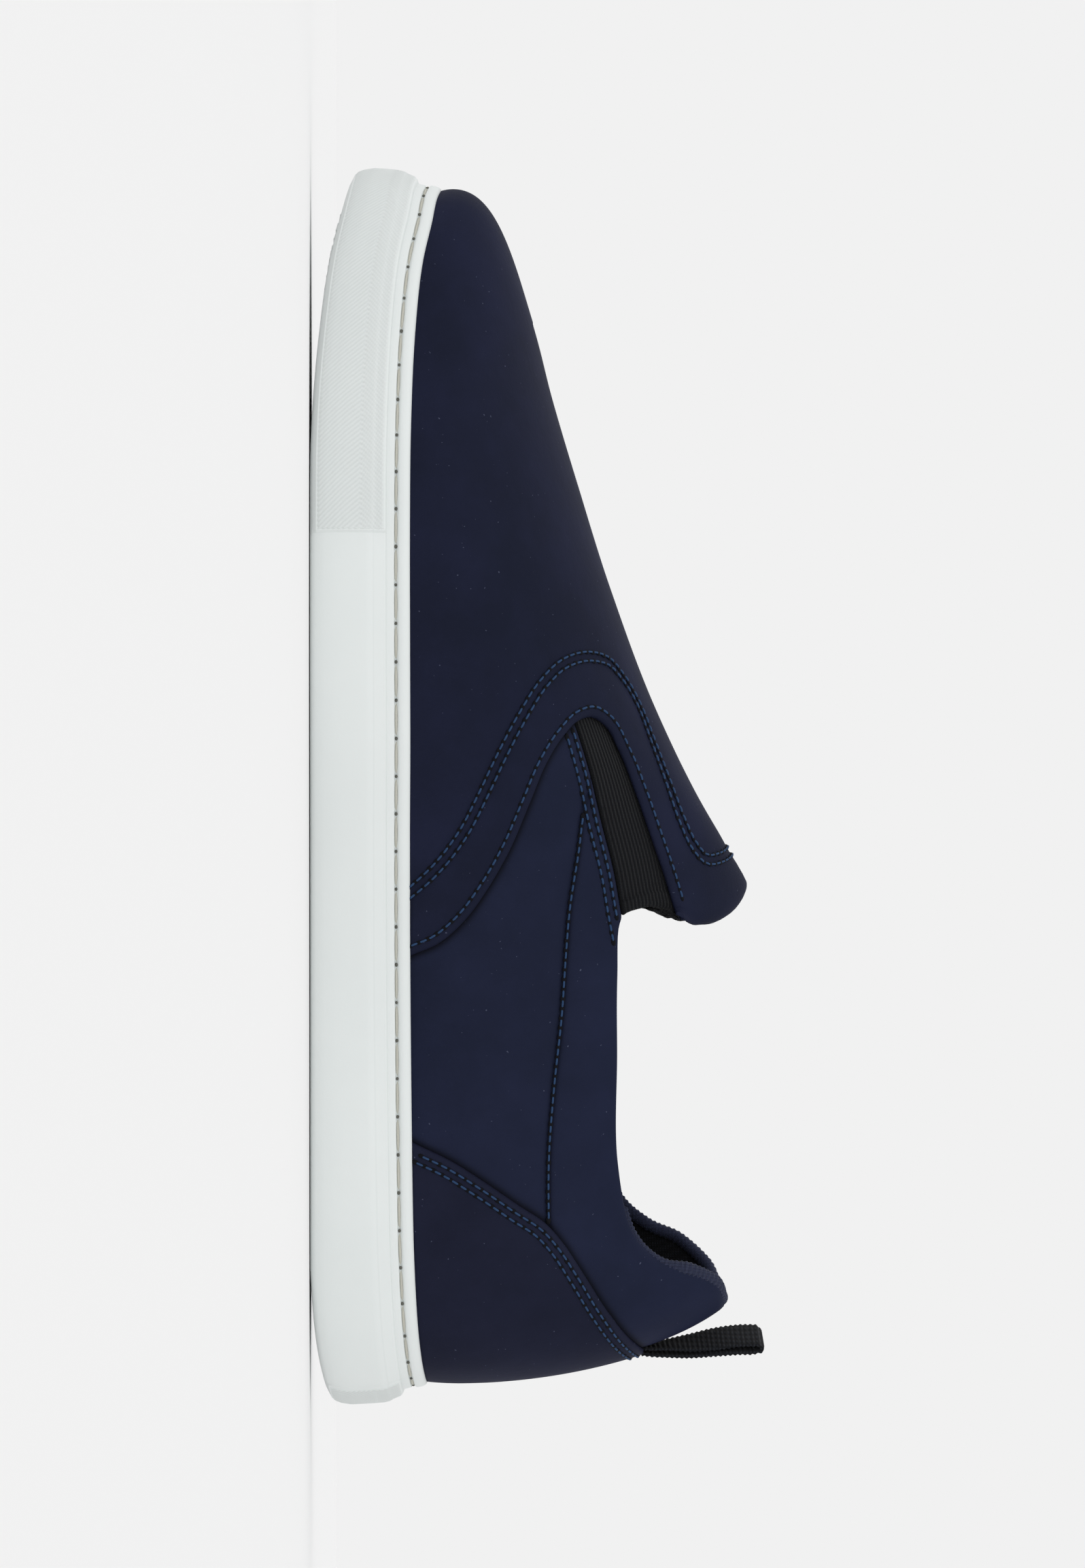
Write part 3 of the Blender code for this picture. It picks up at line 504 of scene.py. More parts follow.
def makeFabric(name, light, dark, weave, ribs=None):
    # Woven or knitted textile: crossed yarns, no shine but a little fuzz, and painted shade between its ribs.
    # The weave is 314 divided by a yarn's width in millimetres, so 500 gives yarns of 0.63 mm.
    layers = [(("yarn", weave), light, 1.0, 0.00012, 0.8)]
    # the ribs' valleys are darkened towards the dark colour: painted shade
    if ribs:
        layers.append((("valleys", *ribs), dark, 1.0, -0.0003, 1.0))
    return makeMaterial(name, dark, layers, {
        "Roughness": 0.85, "Specular IOR Level": 0.15, "Sheen Weight": 0.05})


def makePlain(name, light, finish):
    # Thread, needle hole or metal: one colour, broken up by a grain of 0.3 mm.
    dark = tuple(0.8 * channel for channel in hexColour(light)[:3]) + (1.0,)
    return makeMaterial(name, light, [(("noise", 3000.0, 2.0, 0.5), dark, 1.0, 0.00004, 0.5)], finish)


def link(name, data):
    thing = bpy.data.objects.new(name, data)
    bpy.context.scene.collection.objects.link(thing)
    return thing


def makePiece(name, points, faces, material, attributes=None, sharp=None, weld=False):
    mesh = bpy.data.meshes.new(name)
    mesh.from_pydata((np.asarray(points) + shoe["shift"]).tolist(), [], [list(map(int, f)) for f in faces])
    mesh.update()
    for key, values in (attributes or {}).items():
        mesh.attributes.new(key, "FLOAT", "POINT").data.foreach_set("value", np.asarray(values, np.float32))
    mesh.materials.append(material)
    mesh.shade_smooth()
    if sharp:
        mesh.set_sharp_from_angle(angle=math.radians(sharp))
    shape = bmesh.new()
    shape.from_mesh(mesh)
    if weld:
        bmesh.ops.remove_doubles(shape, verts=shape.verts, dist=0.000004)
        bmesh.ops.dissolve_degenerate(shape, edges=shape.edges, dist=0.000001)
    else:
        bmesh.ops.recalc_face_normals(shape, faces=shape.faces)
    shape.to_mesh(mesh)
    shape.free()
    return link(name, mesh)


def tubeFaces(rows, count):
    # the sides of a tube of closed rows, then its two ends
    faces = []
    for start in range(0, (rows - 1) * count, count):
        for k in range(count):
            after = (k + 1) % count
            faces.append([start + k, start + after, start + count + after, start + count + k])
    return faces + [range(count), range((rows - 1) * count, rows * count)]


def enter(piece, slot, *nodes):
    # hands a finished piece to the frame
    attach(piece, "root")
    if nodes:
        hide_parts(*nodes)
    print(piece.name, len(piece.data.polygons), "faces")


def crossingRow(data, side, key):
    # the row of data where side passes zero between two of its rows
    share = side[key[0]] / (side[key[0]] - side[key[1]])
    return data[key[0]] * (1 - share) + data[key[1]] * share


def splitAlong(data, triangles, values, cutAt):
    # cuts the triangles where the values pass cutAt, so that an edge runs exactly along the line
    side = values - cutAt
    side = np.where(np.abs(side) < 1e-6, 0.0, side)
    signs = np.sign(side)
    corner = signs[triangles]
    crossing = (corner.min(axis=1) < 0) & (corner.max(axis=1) > 0)
    kept = [tuple(t) for t in triangles[~crossing]]
    added, index = [], {}
    count = len(data)

    def cut(i, j):
        key = (min(i, j), max(i, j))
        if key not in index:
            added.append(crossingRow(data, side, key))
            index[key] = count + len(added) - 1
        return index[key]

    for triangle in triangles[crossing]:
        a, b, c = (int(v) for v in triangle)
        for _ in range(3):
            if signs[a] != 0 and signs[a] != signs[b] and signs[a] != signs[c]:
                break
            if signs[a] == 0 and signs[b] * signs[c] < 0:
                break
            a, b, c = b, c, a
        if signs[a] == 0:
            middle = cut(b, c)
            kept += [(a, b, middle), (a, middle, c)]
            continue
        near, far = cut(a, b), cut(a, c)
        if signs[b] == 0:
            kept += [(a, b, far), (b, c, far)]
        elif signs[c] == 0:
            kept += [(a, near, c), (near, b, c)]
        else:
            kept += [(a, near, far), (near, b, c), (near, c, far)]
    if added:
        data = np.concatenate([data, np.array(added)])
    return data, np.array(kept)


# One dense skin carries all soft pieces: point, normal and the distance to each seam in every row.
skinGrid = {"columns": 261, "rows": 54, "nextToRim": [0.989, 0.994, 0.997, 0.9988, 1.0], "easing": 24}
stationAt = np.unique(np.round(np.append(np.linspace(0, 1, skinGrid["columns"]), tabRound), 5))
climbAt = np.concatenate([np.linspace(0, 0.982, skinGrid["rows"]), skinGrid["nextToRim"]])
grid, gridNormals, rim = upperGrid(stationAt, climbAt)

# normals eased sideways, so that the panels' edges stay even where the opening turns sharply
for _ in range(skinGrid["easing"]):
    gridNormals = 2 * gridNormals + np.roll(gridNormals, 1, axis=1) + np.roll(gridNormals, -1, axis=1)
    gridNormals = unit(gridNormals / 4)

# Soft troughs (minus) and ridges, placed in the side view: from, to, width, height in mm, side
creases = [
    ((178, 24), (196, 45), 6.0, -0.35, 0), ((186, 22), (206, 40), 5.0, 0.25, 0),
    ((150, 24), (168, 52), 7.0, -0.40, 0), ((120, 26), (140, 47), 5.0, -0.30, 0),
    ((218, 28), (236, 44), 6.0, -0.25, 0), ((104, 30), (120, 46), 4.0, 0.25, 0),
    ((62, 30), (50, 52), 6.0, -0.30, 0), ((84, 34), (70, 62), 6.0, 0.20, 0),
    ((44, 64), (62, 66), 4.0, -0.40, 0), ((36, 76), (26, 92), 4.0, -0.30, 1),
    ((10, 40), (16, 62), 5.0, -0.20, 1), ((130, 62), (150, 72), 4.0, -0.20, 0),
    ((196, 46), (190, 60), 4.0, 0.20, -1), ((92, 52), (104, 66), 3.0, -0.25, -1),
]


def creaseHeights(points):
    found = np.zeros(points.shape[:-1])
    for start, end, width, height, side in creases:
        a, b = np.array(start) * mm, np.array(end) * mm
        flat = points[..., [0, 2]] - a
        run = b - a
        share = np.clip((flat @ run) / (run @ run), 0, 1)
        away = np.linalg.norm(flat - share[..., None] * run, axis=-1)
        taper = 0.35 + 0.65 * np.sin(np.pi * np.clip(share, 0.08, 0.92))
        shape = np.exp(-(away / (width * mm)) ** 2) * taper
        if side:
            shape = shape * (points[..., 1] * side > 0)
        found += shape * height * mm
    return found


# they fade out over the lowest rows, inside the sole, and over the highest, at the collar
row = np.arange(grid.shape[0])
still, fading = 5, 6
fade = np.clip((row - still) / fading, 0, 1) * np.clip((len(row) - 1 - still - row) / fading, 0, 1)
grid = grid + gridNormals * (creaseHeights(grid) * fade[:, None])[..., None]
rowCount, total = grid.shape[:2]
down = np.linalg.norm(np.diff(grid, axis=0), axis=2)
stationOf = ring(stationAt, stationAt)
foot = np.zeros(grid.shape[:2])
foot[1:] = np.cumsum(down, axis=0)

skinPoints = grid.reshape(-1, 3)
skinNormals = gridNormals.reshape(-1, 3)
fieldNames = list(lines) + ["rim", "foot", "around"]
fields = [lineDistance(sideLine(name), skinPoints, skinNormals) for name in lines]
around = np.where(np.arange(total) < len(stationAt), stationOf, -stationOf)
fields += [rim.ravel(), foot.ravel(), np.tile(around, rowCount)]
skin = np.column_stack([skinPoints, skinNormals] + fields)
fieldAt = {name: 6 + k for k, name in enumerate(fieldNames)}

place = np.arange(rowCount * total).reshape(rowCount, total)
for k in range(len(stationAt)):
    if stationAt[k] >= tabRound:
        place[-1, (total - k) % total] = place[-1, k]
following = np.roll(place, -1, axis=1)
quads = np.stack([place[:-1], place[1:], following[1:], following[:-1]], axis=-1).reshape(-1, 4)
skinTriangles = np.concatenate([quads[:, [0, 1, 2]], quads[:, [0, 2, 3]]])
corners = np.sort(skinTriangles, axis=1)
skinTriangles = skinTriangles[(np.diff(corners, axis=1) != 0).all(axis=1)]
print("skin", len(skin), "points", len(skinTriangles), "triangles")

surfaceTree = BVHTree.FromPolygons(skinPoints.tolist(), skinTriangles.tolist())


def bulge(distance, radius):
    # a quarter round: 0 on the edge, 1 from the radius inwards
    share = np.clip(distance / radius, 0, 1)
    return np.sqrt(1 - (1 - share) ** 2)


# The rolled edge is cut at these shares of its width; skin that lies further out is not looked at.
rolledEdge = {"cuts": (0.0, 0.12, 0.4, 1.0), "nearby": -0.003}


def shellPiece(name, region, settings, material, keep=None):
    # A closed panel: the part of the skin where region > 0, between two heights over it, with its cut
    # edge rolled over and its collar edge rounded. region and keep take the skin's rows.
    data, triangles = skin, skinTriangles
    nearby = region(data)[triangles].max(axis=1) > rolledEdge["nearby"]
    triangles = triangles[nearby]
    if keep is not None:
        triangles = triangles[keep(data)[triangles].all(axis=1)]
    for share in rolledEdge["cuts"]:
        data, triangles = splitAlong(data, triangles, region(data), share * settings["roll"])
    triangles = triangles[region(data)[triangles].mean(axis=1) > 0]
    used, triangles = np.unique(triangles, return_inverse=True)
    triangles = triangles.reshape(-1, 3)
    data = data[used]
    inside = np.maximum(region(data), 0)
    thick = settings["top"] - settings["under"]
    lift = settings["under"] + thick * bulge(inside, settings["roll"])
    lift = lift + settings.get("shape", lambda rows: 0.0)(data)
    under = np.full(len(data), settings["under"])
    rimShare = bulge(data[:, fieldAt["rim"]], thick / 2)
    half = (lift - under) / 2
    centre = (lift + under) / 2
    lift, under = centre + half * rimShare, centre - half * rimShare
    points, normals = data[:, :3], data[:, 3:6]
    count = len(data)
    allPoints = np.concatenate([points + normals * lift[:, None], points + normals * under[:, None]])
    faces = [tuple(t) for t in triangles] + [tuple(t[::-1] + count) for t in triangles]
    edges = dict.fromkeys((i, j) for a, b, c in triangles for i, j in ((a, b), (b, c), (c, a)))
    for i, j in edges:
        if (j, i) not in edges:
            faces.append((j, i, i + count, j + count))
    attributes = {key: np.tile(data[:, fieldAt[key]], 2) for key in fieldNames}
    return makePiece(name, allPoints, faces, material, attributes, weld=True)


def contour(values, cutAt, keep):
    # chains of skin points along a level line of the values
    side = values - cutAt
    side = np.where(side == 0, 1e-9, side)
    positive = side > 0
    corner = positive[skinTriangles]
    crossing = skinTriangles[corner.any(axis=1) & ~corner.all(axis=1)]
    points, joined = {}, {}
    for triangle in crossing:
        ends = []
        for i, j in ((0, 1), (1, 2), (2, 0)):
            a, b = int(triangle[i]), int(triangle[j])
            if positive[a] != positive[b]:
                key = (min(a, b), max(a, b))
                if key not in points:
                    points[key] = crossingRow(skin, side, key)
                ends.append(key)
        if len(ends) == 2:
            joined.setdefault(ends[0], []).append(ends[1])
            joined.setdefault(ends[1], []).append(ends[0])
    allowed = {key: bool(keep(row[None])[0]) for key, row in points.items()}
    joined = {k: [o for o in v if allowed[o]] for k, v in joined.items() if allowed[k]}
    chains, seen = [], set()
    for start in sorted(joined, key=lambda key: (len(joined[key]) != 1, key)):
        if start in seen:
            continue
        chain = [start]
        seen.add(start)
        while True:
            options = [key for key in joined[chain[-1]] if key not in seen]
            if not options:
                break
            chain.append(options[0])
            seen.add(options[0])
        if len(chain) > 3:
            chains.append(np.array([points[key][:6] for key in chain]))
    return chains


def resample(chain, pitch):
    # even steps along a chain
    lengths = lengthsOf(chain[:, :3])
    at = np.arange(0, lengths[-1], pitch)
    return np.column_stack([np.interp(at, lengths, chain[:, k]) for k in range(chain.shape[1])])


# Floor, light and camera
studio = {
    "floor": "f3f3f3",
    "floorHalf": 4.0,
    "floorDrop": -0.0002,  # just under the sole, so that the two never touch
    "background": "f1f1f1",
    # name, direction it comes from, strength, width of the soft source in degrees
    "lights": [("key", (0.5, 0.6, 1.0), 0.35, 40), ("front", (0.1, 1.0, 0.25), 0.25, 60)],
    "sensor": 36.0,
    "cameraAway": 1.2,
    "cameraHeight": 0.008,
    "aimHeight": 0.0565,
    "frameHeight": 0.3832,
}


def makeStudio():
    matt = {"Roughness": 0.9, "Specular IOR Level": 0.1}
    paper = makeMaterial("Matt studio paper", studio["floor"], [], matt)
    # the paper is only there from above, so that the sole can be looked at
    tree = paper.node_tree
    surface = [addNode(tree, "ShaderNodeNewGeometry", (), "Backfacing"),
               tree.nodes["Principled BSDF"].outputs[0], addNode(tree, "ShaderNodeBsdfTransparent")]
    fill(tree, tree.nodes["Material Output"], {"Surface": addNode(tree, "ShaderNodeMixShader", surface)})
    mesh = bpy.data.meshes.new("floor")
    half, below = studio["floorHalf"], studio["floorDrop"]
    mesh.from_pydata([(x * half, y * half, below) for x, y in ((-1, -1), (1, -1), (1, 1), (-1, 1))],
                     [], [[0, 1, 2, 3]])
    mesh.materials.append(paper)
    piece = link("floor", mesh)
    world = bpy.data.worlds.new("Studio")
    world.use_nodes = True
    fill(world.node_tree, world.node_tree.nodes["Background"], [hexColour(studio["background"]), 1.0])
    bpy.context.scene.world = world
    for name, comesFrom, strength, softness in studio["lights"]:
        light = bpy.data.lights.new(name, "SUN")
        light.energy = strength
        light.angle = math.radians(softness)
        link(name, light).rotation_euler = Vector(comesFrom).to_track_quat("Z", "Y").to_euler()
    camera = bpy.data.cameras.new("camera")
    camera.sensor_width = studio["sensor"]
    camera.lens = studio["sensor"] * studio["cameraAway"] / studio["frameHeight"]
    camera.clip_start = 0.01
    viewer = link("camera", camera)
    eye = Vector((0.0, studio["cameraAway"], studio["cameraHeight"]))
    back = (eye - Vector((0.0, 0.0, studio["aimHeight"]))).normalized()
    # the toe points up in the picture
    right = Vector((1, 0, 0)).cross(back).normalized()
    turn = Matrix((right, back.cross(right), back)).transposed()
    viewer.matrix_world = Matrix.Translation(eye) @ turn.to_4x4()
    bpy.context.scene.camera = viewer
    bpy.context.scene.view_settings.view_transform = "Standard"
    print("studio")


makeStudio()


def ribsAround(pitch):
    # turns of the ribs per unit of the way round, measured on the collar's edge at the heel
    near = np.searchsorted(stationAt, [0.02, 0.16])
    run = lengthsOf(grid[-1, near[0]:near[1] + 1])[-1]
    return run / (stationAt[near[1]] - stationAt[near[0]]) / pitch


rubber = makeRubber("White moulded rubber")
# the same rubber, darkened by the painted shade its pieces carry
rubberWithPaintedShade = makeRubber("White moulded rubber, ribbed", "valley")
# the quarter gets a painted shadow line beside the vamp's and the counter's edges
upperNubuck = makeNubuck("Navy coated nubuck", "1e2339", "191e31",
                         ["collarSeam"], ["vampEdge", "counterEdge"])
# the same navy nubuck as the quarter, set a little darker on the vamp: painted shade
vampNubuckPaintedShade = makeNubuck("Navy coated nubuck, vamp", "1b1f34", "161a2b")
counterNubuck = makeNubuck("Navy coated nubuck, heel", "1d2033", "181b2c")
liningCloth = makeFabric("Black ribbed knit lining", "202229", "0b0c0f", 500.0,
                         ("around", ribsAround(0.00175)))
elasticCloth = makeFabric("Black woven elastic", "1d2027", "0c0d10", 800.0, ("gussetEdge", 1 / 0.00105))
grosgrain = makeFabric("Black grosgrain ribbon", "23262c", "0e0f13", 380.0)
bindingKnit = makeFabric("Navy ribbed knit binding", "454c6a", "1a1d2e", 900.0)
ventMetal = makePlain("Gunmetal lacquered brass", "3a3f52", {"Roughness": 0.35, "Metallic": 0.7})
insoleCloth = makeFabric("Black polyester sock lining", "1c1d22", "0c0d0f", 600.0)
print("materials")

# Cupsole: the toe band and the heel patch stand out from the wall, and two tread fields are sunk below
sole = {
    "columns": 330,
    "heelPatch": {"ends": 0.066, "out": 0.0004},
    "toeBand": {"starts": 0.667, "out": 0.0005},
    "treadFields": [(0.062, 0.3605), (0.4915, 1.1)],
    "treadDepth": 0.0008,
    "corners": [0.065, 0.0665, 0.666, 0.6675, 0.0615, 0.0625, 0.3600, 0.3610, 0.4910, 0.4920],
    "underside": [0.0102, 0.0098],
    "innerClearance": 0.0002,
    # painted shade at the foot of the step and in the stitch groove, by the distance down from the lip
    "shade": {0.0086: 0.15, 0.0056: 0.30, 0.0036: 0.45, 0.0032: 0.45},
}
soleSteps = [
    # up from the bottom edge, down from the lip, inset on the sides, inset at the ends, banded
    (0.0000, None, 0.0026, 0.0040, 0),
    (0.0002, None, 0.0019, 0.0031, 0),
    (0.0007, None, 0.0012, 0.0021, 0),
    (0.0014, None, 0.0007, 0.0012, 1),
    (0.0035, None, 0.0002, 0.0004, 1),
    (0.0060, None, 0.0000, 0.0000, 1),
    (0.0080, None, 0.0000, 0.0001, 1),
    (None, 0.0105, 0.0001, 0.0004, 1),
    (None, 0.0089, 0.0003, 0.0008, 1),
    (None, 0.0086, 0.0005, 0.0010, 1),
    (None, 0.0083, 0.0006, 0.0012, 1),
    (None, 0.0062, 0.0008, 0.0021, 1),
    (None, 0.0058, 0.0009, 0.0024, 1),
    (None, 0.0056, 0.0012, 0.0027, 0),
    (None, 0.0054, 0.0015, 0.0030, 0),
    (None, 0.0041, 0.0016, 0.0033, 0),
    (None, 0.0038, 0.0017, 0.0034, 0),
    (None, 0.0036, 0.0023, 0.0040, 0),
    (None, 0.0032, 0.0024, 0.0041, 0),
    (None, 0.0029, 0.0021, 0.0038, 0),
    (None, 0.0027, 0.0018, 0.0035, 0),
    (None, 0.0023, 0.0016, 0.0034, 0),
    (None, 0.0012, 0.0017, 0.0036, 0),
    (None, 0.0005, 0.0020, 0.0039, 0),
    (None, 0.0001, 0.0024, 0.0043, 0),
    (None, 0.0000, 0.0028, 0.0048, 0),
]


def stepRing(at, step):
    # one ring of the wall, measured up from the bottom edge or down from the lip
    bottom, lip = heights(at)[:2]
    up, below, inset, endInset = step[:4]
    return insetRing(at, inset, endInset, bottom + up if below is None else lip - below)


def ladder(count, start):
    # closes a ring with strips from its lateral to its medial side
    whole = 2 * (count - 1)
    strips = [[k, k + 1, whole - k - 1, (whole - k) % whole] for k in range(count - 1)]
    return [[start + corner for corner in dict.fromkeys(strip)] for strip in strips]


def stackedRings(rings):
    rows, whole = len(rings), len(rings[0])
    caps = ladder(whole // 2 + 1, 0) + ladder(whole // 2 + 1, whole * (rows - 1))
    return np.concatenate(rings), caps + tubeFaces(rows, whole)[:-2]


def makeCupsole():
    at = np.unique(np.concatenate([np.linspace(0, 1, sole["columns"]), sole["corners"]]))
    bottom, lip, floor = heights(at)
    around = ring(at, at)
    raised = np.where(around > sole["toeBand"]["starts"], sole["toeBand"]["out"], 0.0)
    raised = np.where(around < sole["heelPatch"]["ends"], sole["heelPatch"]["out"], raised)
    outward = edge(at)[1]
    sunk = sum((around > first) & (around < last) for first, last in sole["treadFields"])
    wide, narrow = sole["underside"]
    rings = [insetRing(at, wide, wide, bottom + sole["treadDepth"] * sunk),
             insetRing(at, narrow, narrow, bottom)]
    # painted shade for each ring; the underside rings get none
    shade = [0.0, 0.0]
    for step in soleSteps:
        row = stepRing(at, step)
        row[:, :2] += outward * raised[:, None] * step[4]
        rings.append(row)
        shade.append(sole["shade"].get(step[1], 0.0))
    rings += [cupInside(at, sole["innerClearance"], z) for z in (lip - 0.0002, lip - 0.001, floor)]
    shade = np.repeat(shade + [0.0] * 3, len(around))
    piece = makePiece("cupsoleRubber", *stackedRings(rings), rubberWithPaintedShade, {"valley": shade}, sharp=38)
    enter(piece, "sole_rubber", "cupsole")


makeCupsole()


def value(rows, name):
    return rows[:, fieldAt[name]]


def between(**limits):
    # keeps the skin's rows whose fields lie between two limits; away is the way round from the heel
    def keep(rows):
        found = np.ones(len(rows), bool)
        for name, (low, high) in limits.items():
            field = np.abs(value(rows, "around")) if name == "away" else value(rows, name)
            found &= (field > low) & (field < high)
        return found
    return keep


def slotRegion(rows, lap=0.0022):
    # positive on the quarter and under the vamp, negative in the gore's V
    return np.maximum(value(rows, "gussetEdge"), -value(rows, "vampEdge") - lap)


def seamTrough(name, width, depth):
    # a soft hollow pulled in by a line of stitches
    return lambda rows: -depth * np.exp(-(value(rows, name) / width) ** 2)


# Panels: heights of their two faces over the skin, rolled edge, shape pressed into the outer face
upperPanel = {"under": -0.0011, "top": 0.0, "roll": 0.0009,
              "shape": seamTrough("collarSeam", 0.0022, 0.00022)}
piece = shellPiece("upperQuarter", slotRegion, upperPanel, upperNubuck)
enter(piece, "upper_nubuck", "upper")

liningPanel = {"under": -0.0021, "top": -0.0014, "roll": 0.0003}
piece = shellPiece("lining", lambda rows: np.ones(len(rows)), liningPanel, liningCloth)
enter(piece, "upper_nubuck")

vampPanel = {"under": 0.0003, "top": 0.0016, "roll": 0.0014,
             "shape": seamTrough("saddleSeam", 0.0030, 0.00018)}
piece = shellPiece("vampPanel", lambda rows: -value(rows, "vampEdge"), vampPanel, vampNubuckPaintedShade,
                   between(away=(0.29, 1.1), foot=(0.006, 1)))
enter(piece, "upper_nubuck", "vamp")

counterPanel = {"under": 0.0003, "top": 0.0016, "roll": 0.0014}
piece = shellPiece("heelCounter", lambda rows: value(rows, "counterEdge"), counterPanel, counterNubuck,
                   between(away=(-1, 0.3), foot=(0.006, 1)))
enter(piece, "upper_nubuck", "heel_counter")

# Elastic gores: fine ribs run lengthwise, from the apex of the V to the hemmed top
hem = {"tall": 0.0004, "width": 0.0036}
gore = {"under": -0.0016, "top": -0.0006, "roll": 0.0003, "clear": 0.0003,
        "shape": lambda rows: np.clip(hem["width"] - value(rows, "rim"), 0, hem["tall"])}
for name, node, reach in (("goreLateral", "gore_lateral", (0.3, 0.65)),
                          ("goreMedial", "gore_medial", (-0.65, -0.3))):
    piece = shellPiece(name, lambda rows: -slotRegion(rows) - gore["clear"], gore, elasticCloth,
                       between(around=reach))
    enter(piece, "elastic", node)


def makeTree(name, inputs, build):
    # a Geometry Nodes tree with its own named inputs, dressed in its material
    tree = bpy.data.node_groups.new(name, "GeometryNodeTree")
    tree.interface.new_socket("Geometry", in_out="INPUT", socket_type="NodeSocketGeometry")
    for label, kind, start in inputs:
        socket = tree.interface.new_socket(label, in_out="INPUT", socket_type="NodeSocket" + kind)
        socket.default_value = start
    tree.interface.new_socket("Material", in_out="INPUT", socket_type="NodeSocketMaterial")
    tree.interface.new_socket("Geometry", in_out="OUTPUT", socket_type="NodeSocketGeometry")
    given = tree.nodes.new("NodeGroupInput").outputs
    real = addNode(tree, "GeometryNodeRealizeInstances", [build(tree, given)])
    dressed = addNode(tree, "GeometryNodeSetMaterial", {"Geometry": real, "Material": given["Material"]})
    fill(tree, tree.nodes.new("NodeGroupOutput"), [dressed])
    return tree


def sweptThread(tree, given):
    # a round thread along every chain of edges
    path = addNode(tree, "GeometryNodeMeshToCurve", {"Mesh": given["Geometry"]})
    circle = {"Resolution": given["Sides"], "Radius": given["Thread Radius"]}
    circle = addNode(tree, "GeometryNodeCurvePrimitiveCircle", circle)
    tube = {"Curve": path, "Profile Curve": circle, "Fill Caps": True}
    tube = addNode(tree, "GeometryNodeCurveToMesh", tube)
    return addNode(tree, "GeometryNodeSetShadeSmooth", {"Geometry": tube})


def needleHole(tree, given):
    # a small flattened bead on every point, lying in the surface; dressed dark, it is the painted shade of a
    # needle hole
    bead = addNode(tree, "GeometryNodeMeshIcoSphere", {"Subdivisions": 2, "Radius": given["Hole Radius"]})
    along, outward = [addNode(tree, "GeometryNodeInputNamedAttribute", {"Name": name}, "Attribute",
                              data_type="FLOAT_VECTOR") for name in ("along", "outward")]
    turned = addNode(tree, "FunctionNodeAlignRotationToVector", {"Vector": outward}, axis="Z")
    turned = addNode(tree, "FunctionNodeAlignRotationToVector", {"Rotation": turned, "Vector": along},
                     axis="X", pivot_axis="Z")
    low = addNode(tree, "ShaderNodeMath", [1.0, given["Spread"]], operation="SUBTRACT")
    high = addNode(tree, "ShaderNodeMath", [1.0, given["Spread"]], operation="ADD")
    size = {2: low, 3: high, "Seed": given["Seed"]}
    size = addNode(tree, "FunctionNodeRandomValue", size, 1, data_type="FLOAT")
    long = addNode(tree, "ShaderNodeMath", [size, given["Length Share"]], operation="MULTIPLY")
    scale = addNode(tree, "ShaderNodeCombineXYZ", [long, size, 0.6])
    placed = {"Points": given["Geometry"], "Instance": bead, "Rotation": turned, "Scale": scale}
    placed = addNode(tree, "GeometryNodeInstanceOnPoints", placed)
    return addNode(tree, "GeometryNodeSetShadeSmooth", {"Geometry": placed})


def mouldedRib(tree, given):
    # a flat-topped rib along every chain of edges, standing on the chain
    path = addNode(tree, "GeometryNodeMeshToCurve", {"Mesh": given["Geometry"]})
    path = addNode(tree, "GeometryNodeSetCurveNormal", {"Curve": path}, mode="Z_UP")
    profile = {"Width": given["Rib Width"], "Height": given["Rib Height"]}
    profile = addNode(tree, "GeometryNodeCurvePrimitiveQuadrilateral", profile, mode="RECTANGLE")
    bars = {"Curve": path, "Profile Curve": profile, "Fill Caps": True}
    return addNode(tree, "GeometryNodeCurveToMesh", bars)


threadTree = makeTree("Sewn thread", [("Thread Radius", "Float", 0.00025), ("Sides", "Int", 6)], sweptThread)
holeTree = makeTree("Needle holes", [("Hole Radius", "Float", 0.0003), ("Length Share", "Float", 1.6),
                                     ("Spread", "Float", 0.15), ("Seed", "Int", 7)], needleHole)
ribTree = makeTree("Moulded ribs", [("Rib Width", "Float", 0.0013),
                                    ("Rib Height", "Float", 0.0008)], mouldedRib)


def grow(name, tree, values, points, edges, vectors=None):
    # runs a tree on a guide of points and edges, and keeps the result as a plain mesh
    guide = bpy.data.meshes.new(name + " guide")
    guide.from_pydata((np.asarray(points) + shoe["shift"]).tolist(), [list(map(int, e)) for e in edges], [])
    for key, rows in (vectors or {}).items():
        layer = guide.attributes.new(key, "FLOAT_VECTOR", "POINT")
        layer.data.foreach_set("vector", np.asarray(rows, np.float32).ravel())
    piece = link(name, guide)
    modifier = piece.modifiers.new("Grow", "NODES")
    modifier.node_group = tree
    for item in tree.interface.items_tree:
        if item.in_out == "INPUT" and item.name in values:
            modifier[item.identifier] = values[item.name]
    graph = bpy.context.evaluated_depsgraph_get()
    mesh = bpy.data.meshes.new_from_object(piece.evaluated_get(graph))
    piece.modifiers.remove(modifier)
    piece.data = mesh
    mesh.name = name
    return piece


# Stitches: pitch and thread in metres, and the shares of a stitch at which the thread is given a point
threadFinish = {"Roughness": 0.7, "Specular IOR Level": 0.2}
holeFinish = {"Roughness": 0.9, "Specular IOR Level": 0.2}
stitching = {
    "pitch": 0.0023, "radius": 0.00026, "rise": 0.00026, "sink": 0.00042, "sides": 6,
    "steps": [0.0, 0.14, 0.32, 0.5, 0.68, 0.86], "holeLift": -0.00002,
    "thread": makePlain("Bonded polyester thread, mid blue", "294468", threadFinish),
    # the needle holes are dark beads: painted shade in the holes
    "hole": {"Hole Radius": 0.00056, "Seed": 11,
             "Material": makePlain("Needle hole shade", "070810", holeFinish)},
}


